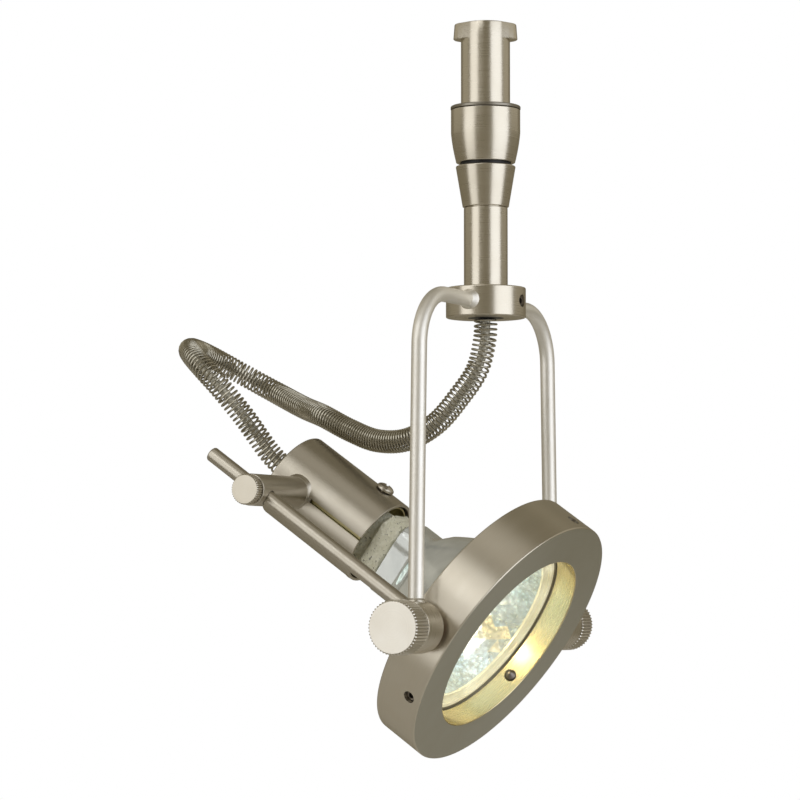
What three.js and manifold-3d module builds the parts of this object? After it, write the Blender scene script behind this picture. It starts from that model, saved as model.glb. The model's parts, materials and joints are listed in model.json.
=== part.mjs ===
// Low-voltage track spotlight: a rail connector with a quick-lock nut, a swivelling stem and yoke,
// and a tilting gimbal ring with a reflector lamp, whose socket slides on a focusing rod.
//
// Millimetres, +Z up. The origin is the centre of the connector's top face, and the light hangs
// below it. The tilt axis is parallel to Y. The head is drawn in a frame of its own at the tilt
// axis: +X along the lamp's axis towards the light, +Y along the tilt axis, +Z away from the floor.

import * as THREE from "three";
import Module from "manifold-3d";
import { mergeVertices } from "three/addons/utils/BufferGeometryUtils.js";

const wasm = await Module();
wasm.setup();

// ---- driving dimensions ----

const GAP = 0.3;
const FINE = 56;
const ROUND = 28;
const SMALL = 14;

const PIVOT_Z = -155.5;
const LAMP_TILT_DEG = 35;

const STEM_R = 6.35;
const EAR_SPAN = 16.6;
const EAR_END_R = 3;
const EAR_HEIGHT = 4.2;
const EAR_TURN_DEG = 27;
const THREAD_R = 6.1;
const THREAD_TOP_Z = -24;
const STEM_BOTTOM_Z = -35.8;
const WIRE_BORE_R = 2.6;
const CONTACT_R = 1.5;
const INSULATOR_R = 4.2;
const INSULATOR_DEPTH = 3.6;

const NUT_TOP_Z = -22.5;
const NUT_BOTTOM_Z = -36.2;
const NUT_R = 8.95;
const NUT_BOTTOM_R = 7.6;
const WASHER_TOP_Z = -21.5;
const WASHER_R = 9.05;

const SLEEVE_TOP_Z = -37.1;
const SLEEVE_BOTTOM_Z = -47.7;
const SLEEVE_TOP_R = 7.75;
const SLEEVE_BOTTOM_R = 5.95;
const SPIGOT_R = 3.8;
const SLEEVE_SHELF_Z = -42.8;
const SLEEVE_POCKET_R = 5.2;

const LOWER_STEM_R = 5.65;
const LOWER_BORE_R = 3.4;
const COLLAR_TOP_Z = -68.6;
const COLLAR_BOTTOM_Z = -76.4;
const COLLAR_R = 10.3;

const ROD_R = 1.95;
const ARM_Z = -72.3;
const ARM_BEND_R = 14;
const ARM_TOP_Y = 38.5;
const ARM_FOOT_Y = 40.6;

const BARREL_R = 6.5;
const BARREL_INNER_Y = 37.9;
const BARREL_OUTER_Y = 46.2;
const KNOB_R = 6.8;
const KNOB_OUTER_Y = 53.1;
const STUD_R = 1.95;

const RING_R = 36;
const RING_FRONT = 8.1;
const RING_REAR = -4.8;
const RING_BORE_R = 25.3;
const RING_SHOULDER = -1;
const RING_REAR_BORE_R = 23.8;
const SET_SCREW_X = 4.6;
const SET_SCREW_ANGLES_DEG = [90, 210, 330];

const FOCUS_ROD_Y = -31.3;
const FOCUS_ROD_END = -77.2;

const LAMP_FRONT = 1.3;
const LAMP_RIM_R = 24.9;
const LAMP_NECK = -22;
const LAMP_NECK_END = -31;
const LAMP_BASE_END = -43.2;
const PIN_HALF_SPACING = 2.67;
const PIN_R = 0.75;
const PIN_LENGTH = 7;

const SHELL_R = 12;
const SHELL_BORE_R = 11.2;
const SHELL_FRONT = -37.5;
const SHELL_REAR = -69;
const SHELL_REAR_WALL = 1.6;
const SLIT_WIDTH = 1;
const SLIT_ANGLE_DEG = 4;
const SLIT_START = -57;
const SOCKET_FRONT = -44;
const SOCKET_REAR = -56;
const SOCKET_SCREWS = [
  { name: "socket_screw_upper", x: -44.2, angleDeg: 90 },
  { name: "socket_screw_lower", x: -41, angleDeg: 253 },
];

const POST_X = -60.4;
const POST_R = 4.1;
const POST_END_Y = -35.6;
const CLAMP_KNOB_R = 3.95;
const CLAMP_KNOB_FACE_Y = -38.4;

const LEAD_R = 3.1;
const LEAD_ROUTE = [
  [0, 0, -76.7],
  [-0.4, 0.1, -82],
  [-2.8, 0.7, -89.5],
  [-8.5, 1.5, -96.5],
  [-15.5, 2.5, -103],
  [-24.5, 3.5, -107],
  [-34, 5, -107],
  [-42.9, 6.8, -104],
  [-52.1, 9.1, -99.9],
  [-61.5, 15.3, -97],
  [-73.8, 21.4, -92.1],
  [-82.2, 20.3, -87.6],
  [-87.5, 15.2, -83.8],
  [-89.6, 8, -81.5],
  [-88.3, 0.4, -81.3],
  [-84, -6, -83.4],
  [-78.2, -9.5, -87.7],
  [-72.5, -9.3, -93.6],
  [-67.9, -5.9, -100.6],
  [-65.5, -3, -105.5],
  [-62.8, -1.1, -110],
  [-59.9, -0.3, -113.1],
  [-57, 0, -115.6],
];

// ---- finishes ----

const FINISHES = {
  nickel: { color: 0xb3a996, roughness: 0.34, metalness: 1 },
  steel: { color: 0x8f8d88, roughness: 0.3, metalness: 1 },
  blackNylon: { color: 0x16161a, roughness: 0.55, metalness: 0 },
  brass: { color: 0xa9985f, roughness: 0.35, metalness: 1 },
  glass: { color: 0xdfe6e2, roughness: 0.05, metalness: 0 },
  reflector: { color: 0xb9c4c2, roughness: 0.15, metalness: 0.8 },
  ceramic: { color: 0xd6d4c2, roughness: 0.8, metalness: 0 },
  fibre: { color: 0x6b3f24, roughness: 0.7, metalness: 0 },
  cable: { color: 0xc9c4b4, roughness: 0.5, metalness: 0 },
};

function part(name, geometry, finish) {
  const mesh = new THREE.Mesh(geometry, new THREE.MeshStandardMaterial(FINISHES[finish]));
  mesh.name = name;
  return mesh;
}

// ---- solids ----

// Merges shared corners, drops slivers that closed up, and turns the faces outwards.
function closed(geometry) {
  const bare = geometry.clone();
  bare.deleteAttribute("normal");
  bare.deleteAttribute("uv");
  const merged = mergeVertices(bare, 1e-4);
  const index = merged.index.array;
  const at = merged.attributes.position;
  const kept = [];
  let volume = 0;
  for (let i = 0; i < index.length; i += 3) {
    const [a, b, c] = [index[i], index[i + 1], index[i + 2]];
    if (a === b || b === c || c === a) continue;
    kept.push(a, b, c);
    const [p, q, r] = [a, b, c].map((n) => new THREE.Vector3().fromBufferAttribute(at, n));
    volume += p.dot(q.cross(r));
  }
  if (volume < 0) kept.reverse();
  merged.setIndex(kept);
  return merged;
}

function toManifold(geometry) {
  const solid = closed(geometry);
  return new wasm.Manifold(
    new wasm.Mesh({
      numProp: 3,
      vertProperties: new Float32Array(solid.attributes.position.array),
      triVerts: new Uint32Array(solid.index.array),
    }),
  );
}

function fromManifold(manifold) {
  const mesh = manifold.getMesh();
  const geometry = new THREE.BufferGeometry();
  geometry.setAttribute("position", new THREE.BufferAttribute(mesh.vertProperties, 3));
  geometry.setIndex(new THREE.BufferAttribute(mesh.triVerts, 1));
  geometry.computeVertexNormals();
  return geometry;
}

function cut(body, ...tools) {
  let result = toManifold(body);
  for (const tool of tools) result = result.subtract(toManifold(tool));
  return fromManifold(result);
}

function join(...bodies) {
  let result = toManifold(bodies[0]);
  for (const body of bodies.slice(1)) result = result.add(toManifold(body));
  return fromManifold(result);
}

// A solid of revolution about Z from [radius, z] corners. A profile that leaves the axis is closed
// on itself.
function turned(profile, segments = ROUND) {
  const points = profile.map(([r, z]) => new THREE.Vector2(r, z));
  const onAxis = profile[0][0] === 0 && profile[profile.length - 1][0] === 0;
  if (!onAxis) points.push(points[0].clone());
  const geometry = closed(new THREE.LatheGeometry(points, segments));
  return geometry.rotateX(Math.PI / 2);
}

function turnedAboutX(profile, segments = ROUND) {
  return turned(profile, segments).rotateY(Math.PI / 2);
}

// A solid of revolution about the -Y direction, from [radius, distance from the XZ plane].
function turnedTowardsNear(profile, segments = ROUND) {
  return turned(profile, segments).rotateX(Math.PI / 2);
}

function turnedTowardsFar(profile, segments = ROUND) {
  return turned(profile, segments).rotateX(-Math.PI / 2);
}

const rodProfile = (r, from, to) => [[0, from], [r, from], [r, to], [0, to]];
const tubeProfile = (outer, inner, from, to) => [[inner, from], [outer, from], [outer, to], [inner, to]];

// A round bar along a smooth curve through the points.
function rodAlong(points, radius, steps, sides) {
  const corners = Array.from({ length: sides }, (_, i) => {
    const angle = (2 * Math.PI * i) / sides;
    return new THREE.Vector2(radius * Math.cos(angle), radius * Math.sin(angle));
  });
  const path = new THREE.CatmullRomCurve3(points.map((p) => new THREE.Vector3(...p)), false, "centripetal");
  const shape = new THREE.Shape(corners);
  return closed(new THREE.ExtrudeGeometry(shape, { steps, bevelEnabled: false, extrudePath: path }));
}

// A bar with rounded corners along X, from x0 to x1, halfY and halfZ from its axis.
function roundedBar(halfY, halfZ, corner, x0, x1) {
  const shape = new THREE.Shape();
  const [y, z, c] = [halfY - corner, halfZ - corner, corner];
  shape.absarc(y, z, c, 0, Math.PI / 2);
  shape.absarc(-y, z, c, Math.PI / 2, Math.PI);
  shape.absarc(-y, -z, c, Math.PI, 1.5 * Math.PI);
  shape.absarc(y, -z, c, 1.5 * Math.PI, 2 * Math.PI);
  const bar = new THREE.ExtrudeGeometry(shape, { depth: x1 - x0, bevelEnabled: false, curveSegments: 6 });
  return bar.rotateY(Math.PI / 2).rotateX(Math.PI / 2).translate(x0, 0, 0);
}

// A direction across the lamp's axis: 0 degrees points to -Y, 90 to the head's +Z.
function across(angleDeg) {
  const angle = THREE.MathUtils.degToRad(angleDeg);
  return new THREE.Vector3(0, -Math.cos(angle), Math.sin(angle));
}

// Turns a solid that was drawn along Z so that it lies along a direction across the lamp's axis.
function laidAcross(geometry, angleDeg, x) {
  const turn = new THREE.Quaternion().setFromUnitVectors(new THREE.Vector3(0, 0, 1), across(angleDeg));
  return geometry.applyQuaternion(turn).translate(x, 0, 0);
}

// ---- rail connector ----

// The T head's outline: the stem's own circle, drawn out to a rounded ear on each side.
function headOutline() {
  const earX = EAR_SPAN / 2 - EAR_END_R;
  const meet = Math.acos((STEM_R - EAR_END_R) / earX);
  const outline = new THREE.Shape();
  outline.absarc(earX, 0, EAR_END_R, -meet, meet);
  outline.absarc(0, 0, STEM_R, meet, Math.PI - meet);
  outline.absarc(-earX, 0, EAR_END_R, Math.PI - meet, Math.PI + meet);
  outline.absarc(0, 0, STEM_R, Math.PI + meet, 2 * Math.PI - meet);
  return outline;
}

function connectorStem() {
  const stem = turned([
    [0, 0],
    [STEM_R - 0.4, 0],
    [STEM_R, -0.4],
    [STEM_R, THREAD_TOP_Z],
    [THREAD_R, THREAD_TOP_Z],
    [THREAD_R, STEM_BOTTOM_Z],
    [0, STEM_BOTTOM_Z],
  ]);
  const outline = headOutline();
  const ears = new THREE.ExtrudeGeometry(outline, { depth: EAR_HEIGHT, bevelEnabled: false, curveSegments: 24 })
    .translate(0, 0, -EAR_HEIGHT)
    .rotateZ(THREE.MathUtils.degToRad(EAR_TURN_DEG));
  const wireBore = turned(rodProfile(WIRE_BORE_R, 1, STEM_BOTTOM_Z - 1), SMALL);
  const insulatorSeat = turned(rodProfile(INSULATOR_R + 0.1, 1, -INSULATOR_DEPTH), ROUND);
  const spigotSeat = turned(rodProfile(SPIGOT_R + 0.1, -31, STEM_BOTTOM_Z - 1), ROUND);
  return part("connector_stem", cut(join(stem, ears), wireBore, insulatorSeat, spigotSeat), "nickel");
}

function connector() {
  const group = new THREE.Group();
  group.add(connectorStem());
  const insulator = tubeProfile(INSULATOR_R, CONTACT_R + 0.1, 0, -INSULATOR_DEPTH + 0.1);
  group.add(part("contact_insulator", turned(insulator), "blackNylon"));
  group.add(part("centre_contact", turned(rodProfile(CONTACT_R, 0, -8), SMALL), "brass"));
  const spigot = [
    [WIRE_BORE_R, -31.2],
    [SPIGOT_R, -31.2],
    [SPIGOT_R, -43.3],
    [SPIGOT_R - 0.6, -43.3],
    [SPIGOT_R - 0.6, -44.3],
    [SPIGOT_R, -44.3],
    [SPIGOT_R, -45],
    [WIRE_BORE_R, -45],
  ];
  group.add(part("swivel_spigot", turned(spigot), "steel"));
  const circlip = turned(tubeProfile(4.8, SPIGOT_R - 0.5, -43.4, -44.2));
  const mouth = new THREE.BoxGeometry(6, 3, 3).translate(4, 0, -43.8);
  group.add(part("spigot_circlip", cut(circlip, mouth), "steel"));
  return group;
}

function lockNut() {
  const group = new THREE.Group();
  const washer = [
    [STEM_R + GAP, WASHER_TOP_Z],
    [WASHER_R - 0.25, WASHER_TOP_Z],
    [WASHER_R, WASHER_TOP_Z - 0.25],
    [WASHER_R, NUT_TOP_Z + 0.15],
    [STEM_R + GAP, NUT_TOP_Z + 0.15],
  ];
  group.add(part("pressure_washer", turned(washer, FINE), "nickel"));
  const shoulderZ = -28.5;
  const waist = new THREE.QuadraticBezierCurve(
    new THREE.Vector2(NUT_R, shoulderZ),
    new THREE.Vector2(NUT_R - 0.3, -32),
    new THREE.Vector2(NUT_BOTTOM_R, NUT_BOTTOM_Z),
  );
  const flank = waist.getPoints(6).map((p) => [p.x, p.y]);
  const nut = [[STEM_R + GAP, NUT_TOP_Z], [NUT_R, NUT_TOP_Z], ...flank, [STEM_R + GAP, NUT_BOTTOM_Z]];
  group.add(part("lock_nut", turned(nut, FINE), "nickel"));
  return group;
}

// ---- swivelling stem and yoke ----

function swivelStem() {
  const group = new THREE.Group();
  const friction = tubeProfile(6.4, SPIGOT_R + 0.3, STEM_BOTTOM_Z - 0.2, SLEEVE_TOP_Z + 0.15);
  group.add(part("friction_washer", turned(friction, ROUND), "blackNylon"));
  const sleeve = [
    [SPIGOT_R + 0.2, SLEEVE_TOP_Z],
    [SLEEVE_TOP_R, SLEEVE_TOP_Z],
    [SLEEVE_BOTTOM_R, SLEEVE_BOTTOM_Z],
    [SLEEVE_POCKET_R, SLEEVE_BOTTOM_Z],
    [SLEEVE_POCKET_R, SLEEVE_SHELF_Z],
    [SPIGOT_R + 0.2, SLEEVE_SHELF_Z],
  ];
  group.add(part("swivel_sleeve", turned(sleeve, FINE), "nickel"));
  const neckZ = SLEEVE_BOTTOM_Z - 0.25;
  const stem = [
    [LOWER_BORE_R, -45.6],
    [SLEEVE_POCKET_R - 0.1, -45.6],
    [SLEEVE_POCKET_R - 0.1, neckZ],
    [LOWER_STEM_R, neckZ],
    [LOWER_STEM_R, COLLAR_BOTTOM_Z],
    [4.7, COLLAR_BOTTOM_Z],
    [4.7, COLLAR_BOTTOM_Z + 4],
    [LOWER_BORE_R, COLLAR_BOTTOM_Z + 4],
  ];
  group.add(part("lower_stem", turned(stem), "nickel"));
  const bush = tubeProfile(4.6, 2.2, COLLAR_BOTTOM_Z, COLLAR_BOTTOM_Z + 3.8);
  group.add(part("upper_bush", turned(bush), "blackNylon"));
  const cable = rodProfile(1.6, -8.4, COLLAR_BOTTOM_Z + 0.4);
  group.add(part("stem_cable", turned(cable, 12), "cable"));
  return group;
}

function collar() {
  const group = new THREE.Group();
  const bevel = 0.3;
  const blank = turned(
    [
      [LOWER_STEM_R + 0.15, COLLAR_TOP_Z],
      [COLLAR_R - bevel, COLLAR_TOP_Z],
      [COLLAR_R, COLLAR_TOP_Z - bevel],
      [COLLAR_R, COLLAR_BOTTOM_Z + bevel],
      [COLLAR_R - bevel, COLLAR_BOTTOM_Z],
      [LOWER_STEM_R + 0.15, COLLAR_BOTTOM_Z],
    ],
    FINE,
  );
  const armHole = rodProfile(ROD_R + 0.15, 7.4, COLLAR_R + 2);
  const nearHole = turnedTowardsNear(armHole, SMALL).translate(0, 0, ARM_Z);
  const farHole = turnedTowardsFar(armHole, SMALL).translate(0, 0, ARM_Z);
  const screwHole = turnedAboutX(rodProfile(1.6, LOWER_STEM_R, COLLAR_R + 2), SMALL).translate(0, 0, ARM_Z);
  group.add(part("collar", cut(blank, nearHole, farHole, screwHole), "nickel"));
  const screw = grubScrew("collar_set_screw", LOWER_STEM_R + 0.3, COLLAR_R - 0.5);
  screw.rotation.y = Math.PI / 2;
  screw.position.z = ARM_Z;
  group.add(screw);
  return group;
}

// A grub screw along +Z with its hexagon socket at the outer end.
function grubScrew(name, inner, outer) {
  const body = turned([[0, inner], [0.8, inner], [1.45, inner + 0.6], [1.45, outer], [0, outer]], SMALL);
  const socket = new THREE.CylinderGeometry(0.75, 0.75, 2.4, 6).rotateX(Math.PI / 2).translate(0, 0, outer);
  return part(name, cut(body, socket), "steel");
}

// One arm: out of the collar, round the bend, and down to its barrel. side is -1 near, +1 far.
function yokeArm(name, side) {
  const footZ = PIVOT_Z + BARREL_R - 2.4;
  const splay = Math.atan2(ARM_FOOT_Y - ARM_TOP_Y, ARM_Z - ARM_BEND_R - PIVOT_Z);
  const sweep = Math.PI / 2 - splay;
  const centreY = ARM_TOP_Y - ARM_BEND_R;
  const centreZ = ARM_Z - ARM_BEND_R;
  const bend = [];
  for (let i = 0; i <= 10; i += 1) {
    const angle = Math.PI / 2 - (sweep * i) / 10;
    bend.push([centreY + ARM_BEND_R * Math.cos(angle), centreZ + ARM_BEND_R * Math.sin(angle)]);
  }
  const [lastY, lastZ] = bend[bend.length - 1];
  const foot = [lastY + (lastZ - footZ) * Math.tan(splay), footZ];
  const corners = [[7.7, ARM_Z], ...bend, foot].map(([y, z]) => new THREE.Vector3(0, side * y, z));
  return part(name, sweptRound(corners, ROD_R, 16), "nickel");
}

// A round bar through corners that lie in the YZ plane, mitred at each corner.
function sweptRound(corners, radius, sides) {
  const positions = [];
  const index = [];
  corners.forEach((corner, i) => {
    const before = corners[Math.max(i - 1, 0)];
    const after = corners[Math.min(i + 1, corners.length - 1)];
    const along = after.clone().sub(before).normalize();
    const inPlane = new THREE.Vector3(0, -along.z, along.y);
    for (let s = 0; s < sides; s += 1) {
      const angle = (2 * Math.PI * s) / sides;
      positions.push(
        radius * Math.sin(angle),
        corner.y + radius * Math.cos(angle) * inPlane.y,
        corner.z + radius * Math.cos(angle) * inPlane.z,
      );
    }
  });
  const last = corners.length - 1;
  for (let i = 0; i < last; i += 1) {
    for (let s = 0; s < sides; s += 1) {
      const next = (s + 1) % sides;
      const [a, b] = [i * sides + s, i * sides + next];
      index.push(a, b, a + sides, b, b + sides, a + sides);
    }
  }
  for (let s = 1; s < sides - 1; s += 1) {
    index.push(0, s + 1, s, last * sides, last * sides + s, last * sides + s + 1);
  }
  const geometry = new THREE.BufferGeometry();
  geometry.setAttribute("position", new THREE.BufferAttribute(new Float32Array(positions), 3));
  geometry.setIndex(index);
  return closed(geometry);
}

function barrel(side, sideName) {
  const group = new THREE.Group();
  const lay = side < 0 ? turnedTowardsNear : turnedTowardsFar;
  const bevel = 0.3;
  const blank = lay([
    [STUD_R + 0.3, BARREL_INNER_Y],
    [BARREL_R - bevel, BARREL_INNER_Y],
    [BARREL_R, BARREL_INNER_Y + bevel],
    [BARREL_R, BARREL_OUTER_Y],
    [STUD_R + 0.3, BARREL_OUTER_Y],
  ]);
  const armSocket = turned(rodProfile(ROD_R + 0.25, BARREL_R - 2.7, BARREL_R + 2), SMALL)
    .translate(0, side * (ARM_FOOT_Y - 0.12), 0);
  const body = part(`barrel_${sideName}`, cut(blank, armSocket), "nickel");
  const washer = lay(tubeProfile(4.6, STUD_R + 0.35, RING_R + 0.25, BARREL_INNER_Y - 0.25));
  group.add(body, part(`barrel_washer_${sideName}`, washer, "fibre"));
  group.position.z = PIVOT_Z;
  return group;
}

function yoke() {
  const group = new THREE.Group();
  group.add(swivelStem(), collar());
  group.add(yokeArm("yoke_arm_near", -1), yokeArm("yoke_arm_far", 1));
  group.add(barrel(-1, "near"), barrel(1, "far"));
  return group;
}

// ---- gimbal head, in the head's own frame ----

function gimbalRing() {
  const bevel = 0.35;
  const blank = turnedAboutX(
    [
      [RING_BORE_R, RING_FRONT - bevel],
      [RING_BORE_R + bevel, RING_FRONT],
      [RING_R - bevel, RING_FRONT],
      [RING_R, RING_FRONT - bevel],
      [RING_R, RING_REAR + bevel],
      [RING_R - bevel, RING_REAR],
      [RING_REAR_BORE_R, RING_REAR],
      [RING_REAR_BORE_R, RING_SHOULDER],
      [RING_BORE_R, RING_SHOULDER],
    ],
    80,
  );
  const studHole = rodProfile(STUD_R + 0.25, RING_R - 6, RING_R + 2);
  const holes = [turnedTowardsNear(studHole, SMALL), turnedTowardsFar(studHole, SMALL)];
  for (const angle of SET_SCREW_ANGLES_DEG) {
    holes.push(laidAcross(turned(rodProfile(1.6, RING_BORE_R - 2, RING_R + 2), SMALL), angle, SET_SCREW_X));
  }
  const rodHole = turnedAboutX(rodProfile(ROD_R + 0.15, RING_REAR - 1, RING_REAR + 2.2), SMALL);
  holes.push(rodHole.translate(0, FOCUS_ROD_Y, 0));
  return part("gimbal_ring", cut(blank, ...holes), "nickel");
}

function ringSetScrews() {
  const group = new THREE.Group();
  SET_SCREW_ANGLES_DEG.forEach((angle, i) => {
    const screw = grubScrew(`ring_set_screw_${i + 1}`, RING_BORE_R - 1.8, RING_R - 0.9);
    laidAcross(screw.geometry, angle, SET_SCREW_X);
    group.add(screw);
  });
  return group;
}

function focusRod() {
  const front = RING_REAR + 2;
  const profile = [[0, FOCUS_ROD_END], [1.5, FOCUS_ROD_END], [ROD_R, FOCUS_ROD_END + 0.45], [ROD_R, front], [0, front]];
  return part("focus_rod", turnedAboutX(profile, 24).translate(0, FOCUS_ROD_Y, 0), "nickel");
}

// The reflector's outside is a paraboloid: its radius squared grows evenly along the axis.
const PARABOLA_APEX = -30.9;
const PARABOLA_GROWTH = 18;
const paraboloidRadius = (x) => Math.sqrt(PARABOLA_GROWTH * (x - PARABOLA_APEX));

function lamp() {
  const group = new THREE.Group();
  const wall = 1.7;
  const rimBack = LAMP_FRONT - 2;
  const mirror = [];
  const outside = [];
  for (let i = 0; i <= 8; i += 1) {
    const x = rimBack - ((rimBack - LAMP_NECK) * i) / 8;
    outside.push([paraboloidRadius(x), x]);
    if (i < 8) mirror.unshift([paraboloidRadius(x) - wall, x]);
  }
  const cup = turnedAboutX(
    [
      [5.6, LAMP_NECK - 3],
      [5.6, LAMP_NECK + 1.6],
      ...mirror,
      [paraboloidRadius(rimBack) - wall, LAMP_FRONT - 1],
      [LAMP_RIM_R - 1.3, LAMP_FRONT - 1],
      [LAMP_RIM_R - 1.3, LAMP_FRONT],
      [LAMP_RIM_R, LAMP_FRONT],
      [LAMP_RIM_R, rimBack],
      ...outside,
      [9, LAMP_NECK - 3],
    ],
    FINE,
  );
  const neck = roundedBar(7.8, 10.2, 4.5, LAMP_NECK_END, LAMP_NECK + 0.4);
  const capsuleHole = turnedAboutX(rodProfile(5.6, LAMP_NECK_END - 1, LAMP_NECK + 1), ROUND);
  group.add(part("lamp_reflector", cut(join(cup, neck), capsuleHole), "reflector"));
  const glass = rodProfile(LAMP_RIM_R - 1.5, LAMP_FRONT - 0.9, LAMP_FRONT - 0.05);
  group.add(part("lamp_cover_glass", turnedAboutX(glass, FINE), "glass"));
  const capsule = [[0, -28], [4.2, -28], [4.2, -13.5], [3.2, -11.4], [1.2, -10.2], [0, -10]];
  group.add(part("lamp_capsule", turnedAboutX(capsule, SMALL), "glass"));
  const base = roundedBar(7.4, 9.1, 4.5, LAMP_BASE_END, LAMP_NECK_END - 0.3);
  group.add(part("lamp_base", closed(base), "ceramic"));
  for (const [name, side] of [["lamp_pin_upper", 1], ["lamp_pin_lower", -1]]) {
    const tip = LAMP_BASE_END - PIN_LENGTH;
    const pin = [[0, tip], [0.45, tip], [PIN_R, tip + 0.5], [PIN_R, LAMP_BASE_END - 0.2], [0, LAMP_BASE_END - 0.2]];
    group.add(part(name, turnedAboutX(pin, 12).translate(0, 0, side * PIN_HALF_SPACING), "steel"));
  }
  return group;
}

function pivotScrew(side, sideName) {
  const lay = side < 0 ? turnedTowardsNear : turnedTowardsFar;
  const headStart = BARREL_OUTER_Y + 0.3;
  const bevel = 0.3;
  const profile = [
    [0, RING_R - 5.5],
    [STUD_R, RING_R - 5.5],
    [STUD_R, headStart],
    [KNOB_R, headStart],
    [KNOB_R, KNOB_OUTER_Y - bevel],
    [KNOB_R - bevel, KNOB_OUTER_Y],
    [0, KNOB_OUTER_Y],
  ];
  return part(`pivot_screw_${sideName}`, lay(profile, ROUND), "nickel");
}

// ---- sliding lamp holder, in the head's own frame ----

function socketShell() {
  const tube = turnedAboutX(
    [
      [4.1, SHELL_REAR],
      [SHELL_R - 0.4, SHELL_REAR],
      [SHELL_R, SHELL_REAR + 0.4],
      [SHELL_R, SHELL_FRONT],
      [SHELL_BORE_R, SHELL_FRONT],
      [SHELL_BORE_R, SHELL_REAR + SHELL_REAR_WALL],
      [4.1, SHELL_REAR + SHELL_REAR_WALL],
    ],
    FINE,
  );
  const slitLength = SHELL_FRONT - SLIT_START + 2;
  const slit = new THREE.BoxGeometry(slitLength, SLIT_WIDTH, 4);
  const cuts = [laidAcross(slit.translate(SLIT_START + slitLength / 2, 0, SHELL_R), SLIT_ANGLE_DEG, 0)];
  for (const { x, angleDeg } of SOCKET_SCREWS) {
    cuts.push(laidAcross(turned(rodProfile(1.6, SHELL_BORE_R - 1, SHELL_R + 1), SMALL), angleDeg, x));
  }
  return part("socket_shell", cut(tube, ...cuts), "nickel");
}

function socketScrews() {
  const group = new THREE.Group();
  const dome = [[0, 10.9], [1.4, 10.9], [1.4, SHELL_R + 0.2], [2.4, SHELL_R + 0.2], [2.2, 13.1], [1.3, 13.6], [0, 13.7]];
  for (const { name, x, angleDeg } of SOCKET_SCREWS) {
    group.add(part(name, laidAcross(turned(dome, SMALL), angleDeg, x), "nickel"));
  }
  return group;
}

function clampPost() {
  const post = turnedTowardsNear(rodProfile(POST_R, 9, -POST_END_Y)).translate(POST_X, 0, 0);
  const shell = turnedAboutX(rodProfile(SHELL_R + 0.2, SHELL_REAR - 2, SHELL_FRONT), FINE);
  const rodHole = turnedAboutX(rodProfile(ROD_R + 0.2, POST_X - 8, POST_X + 8), SMALL).translate(0, FOCUS_ROD_Y, 0);
  const screwHole = turnedTowardsNear(rodProfile(1.7, -FOCUS_ROD_Y, -POST_END_Y + 1), SMALL);
  return part("clamp_post", cut(post, shell, rodHole, screwHole.translate(POST_X, 0, 0)), "nickel");
}

function clampKnob() {
  const headStart = -POST_END_Y + 0.3;
  const face = -CLAMP_KNOB_FACE_Y;
  const bevel = 0.25;
  const profile = [
    [0, -FOCUS_ROD_Y + ROD_R + 0.25],
    [1.4, -FOCUS_ROD_Y + ROD_R + 0.25],
    [1.4, headStart],
    [CLAMP_KNOB_R, headStart],
    [CLAMP_KNOB_R, face - bevel],
    [CLAMP_KNOB_R - bevel, face],
    [0, face],
  ];
  return part("clamp_knob", turnedTowardsNear(profile).translate(POST_X, 0, 0), "nickel");
}

function lampSocket() {
  const group = new THREE.Group();
  const sleeve = tubeProfile(10.6, 10.2, SHELL_FRONT - 0.8, SOCKET_REAR - 1);
  group.add(part("socket_sleeve", turnedAboutX(sleeve, FINE), "brass"));
  const block = turnedAboutX(rodProfile(9.8, SOCKET_REAR, SOCKET_FRONT));
  const bores = [];
  for (const side of [1, -1]) {
    const bore = turnedAboutX(rodProfile(1.6, SOCKET_REAR + 3, SOCKET_FRONT + 1), 16);
    const wireWay = turnedAboutX(rodProfile(1, SOCKET_REAR - 1, SOCKET_REAR + 4), 12);
    bores.push(bore.translate(0, 0, side * PIN_HALF_SPACING));
    bores.push(wireWay.translate(0, 0, side * PIN_HALF_SPACING));
  }
  group.add(part("lamp_socket", cut(block, ...bores), "ceramic"));
  const bush = [
    [2.2, SHELL_REAR],
    [3.9, SHELL_REAR],
    [3.9, SHELL_REAR + SHELL_REAR_WALL + 0.2],
    [5.4, SHELL_REAR + SHELL_REAR_WALL + 0.2],
    [5.4, SHELL_REAR + SHELL_REAR_WALL + 1.4],
    [2.2, SHELL_REAR + SHELL_REAR_WALL + 1.4],
  ];
  group.add(part("rear_bush", turnedAboutX(bush), "blackNylon"));
  for (const [place, side] of [["upper", 1], ["lower", -1]]) {
    const contact = turnedAboutX(tubeProfile(1.4, PIN_R + 0.15, SOCKET_REAR + 3.3, SOCKET_FRONT - 0.3), 16);
    group.add(part(`pin_contact_${place}`, contact.translate(0, 0, side * PIN_HALF_SPACING), "brass"));
    group.add(part(`socket_wire_${place}`, socketWire(side), "cable"));
  }
  return group;
}

// One insulated wire from the back of a pin contact to the rear bush.
function socketWire(side) {
  const nearAxis = 1;
  return rodAlong(
    [
      [SOCKET_REAR + 2.8, 0, side * PIN_HALF_SPACING],
      [SOCKET_REAR - 1.5, 0, side * PIN_HALF_SPACING],
      [SOCKET_REAR - 5.5, 0, side * (nearAxis + 0.7)],
      [SHELL_REAR + 3.4, 0, side * nearAxis],
      [SHELL_REAR + 0.4, 0, side * nearAxis],
    ],
    0.75,
    14,
    8,
  );
}

function headFrame() {
  const frame = new THREE.Group();
  frame.position.z = PIVOT_Z;
  frame.rotation.y = THREE.MathUtils.degToRad(LAMP_TILT_DEG);
  return frame;
}

function head() {
  const frame = headFrame();
  frame.add(gimbalRing(), ringSetScrews(), focusRod(), lamp());
  frame.add(pivotScrew(-1, "near"), pivotScrew(1, "far"));
  return frame;
}

function lampHolder() {
  const frame = headFrame();
  frame.add(socketShell(), socketScrews(), clampPost(), clampKnob(), lampSocket());
  return frame;
}

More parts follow.
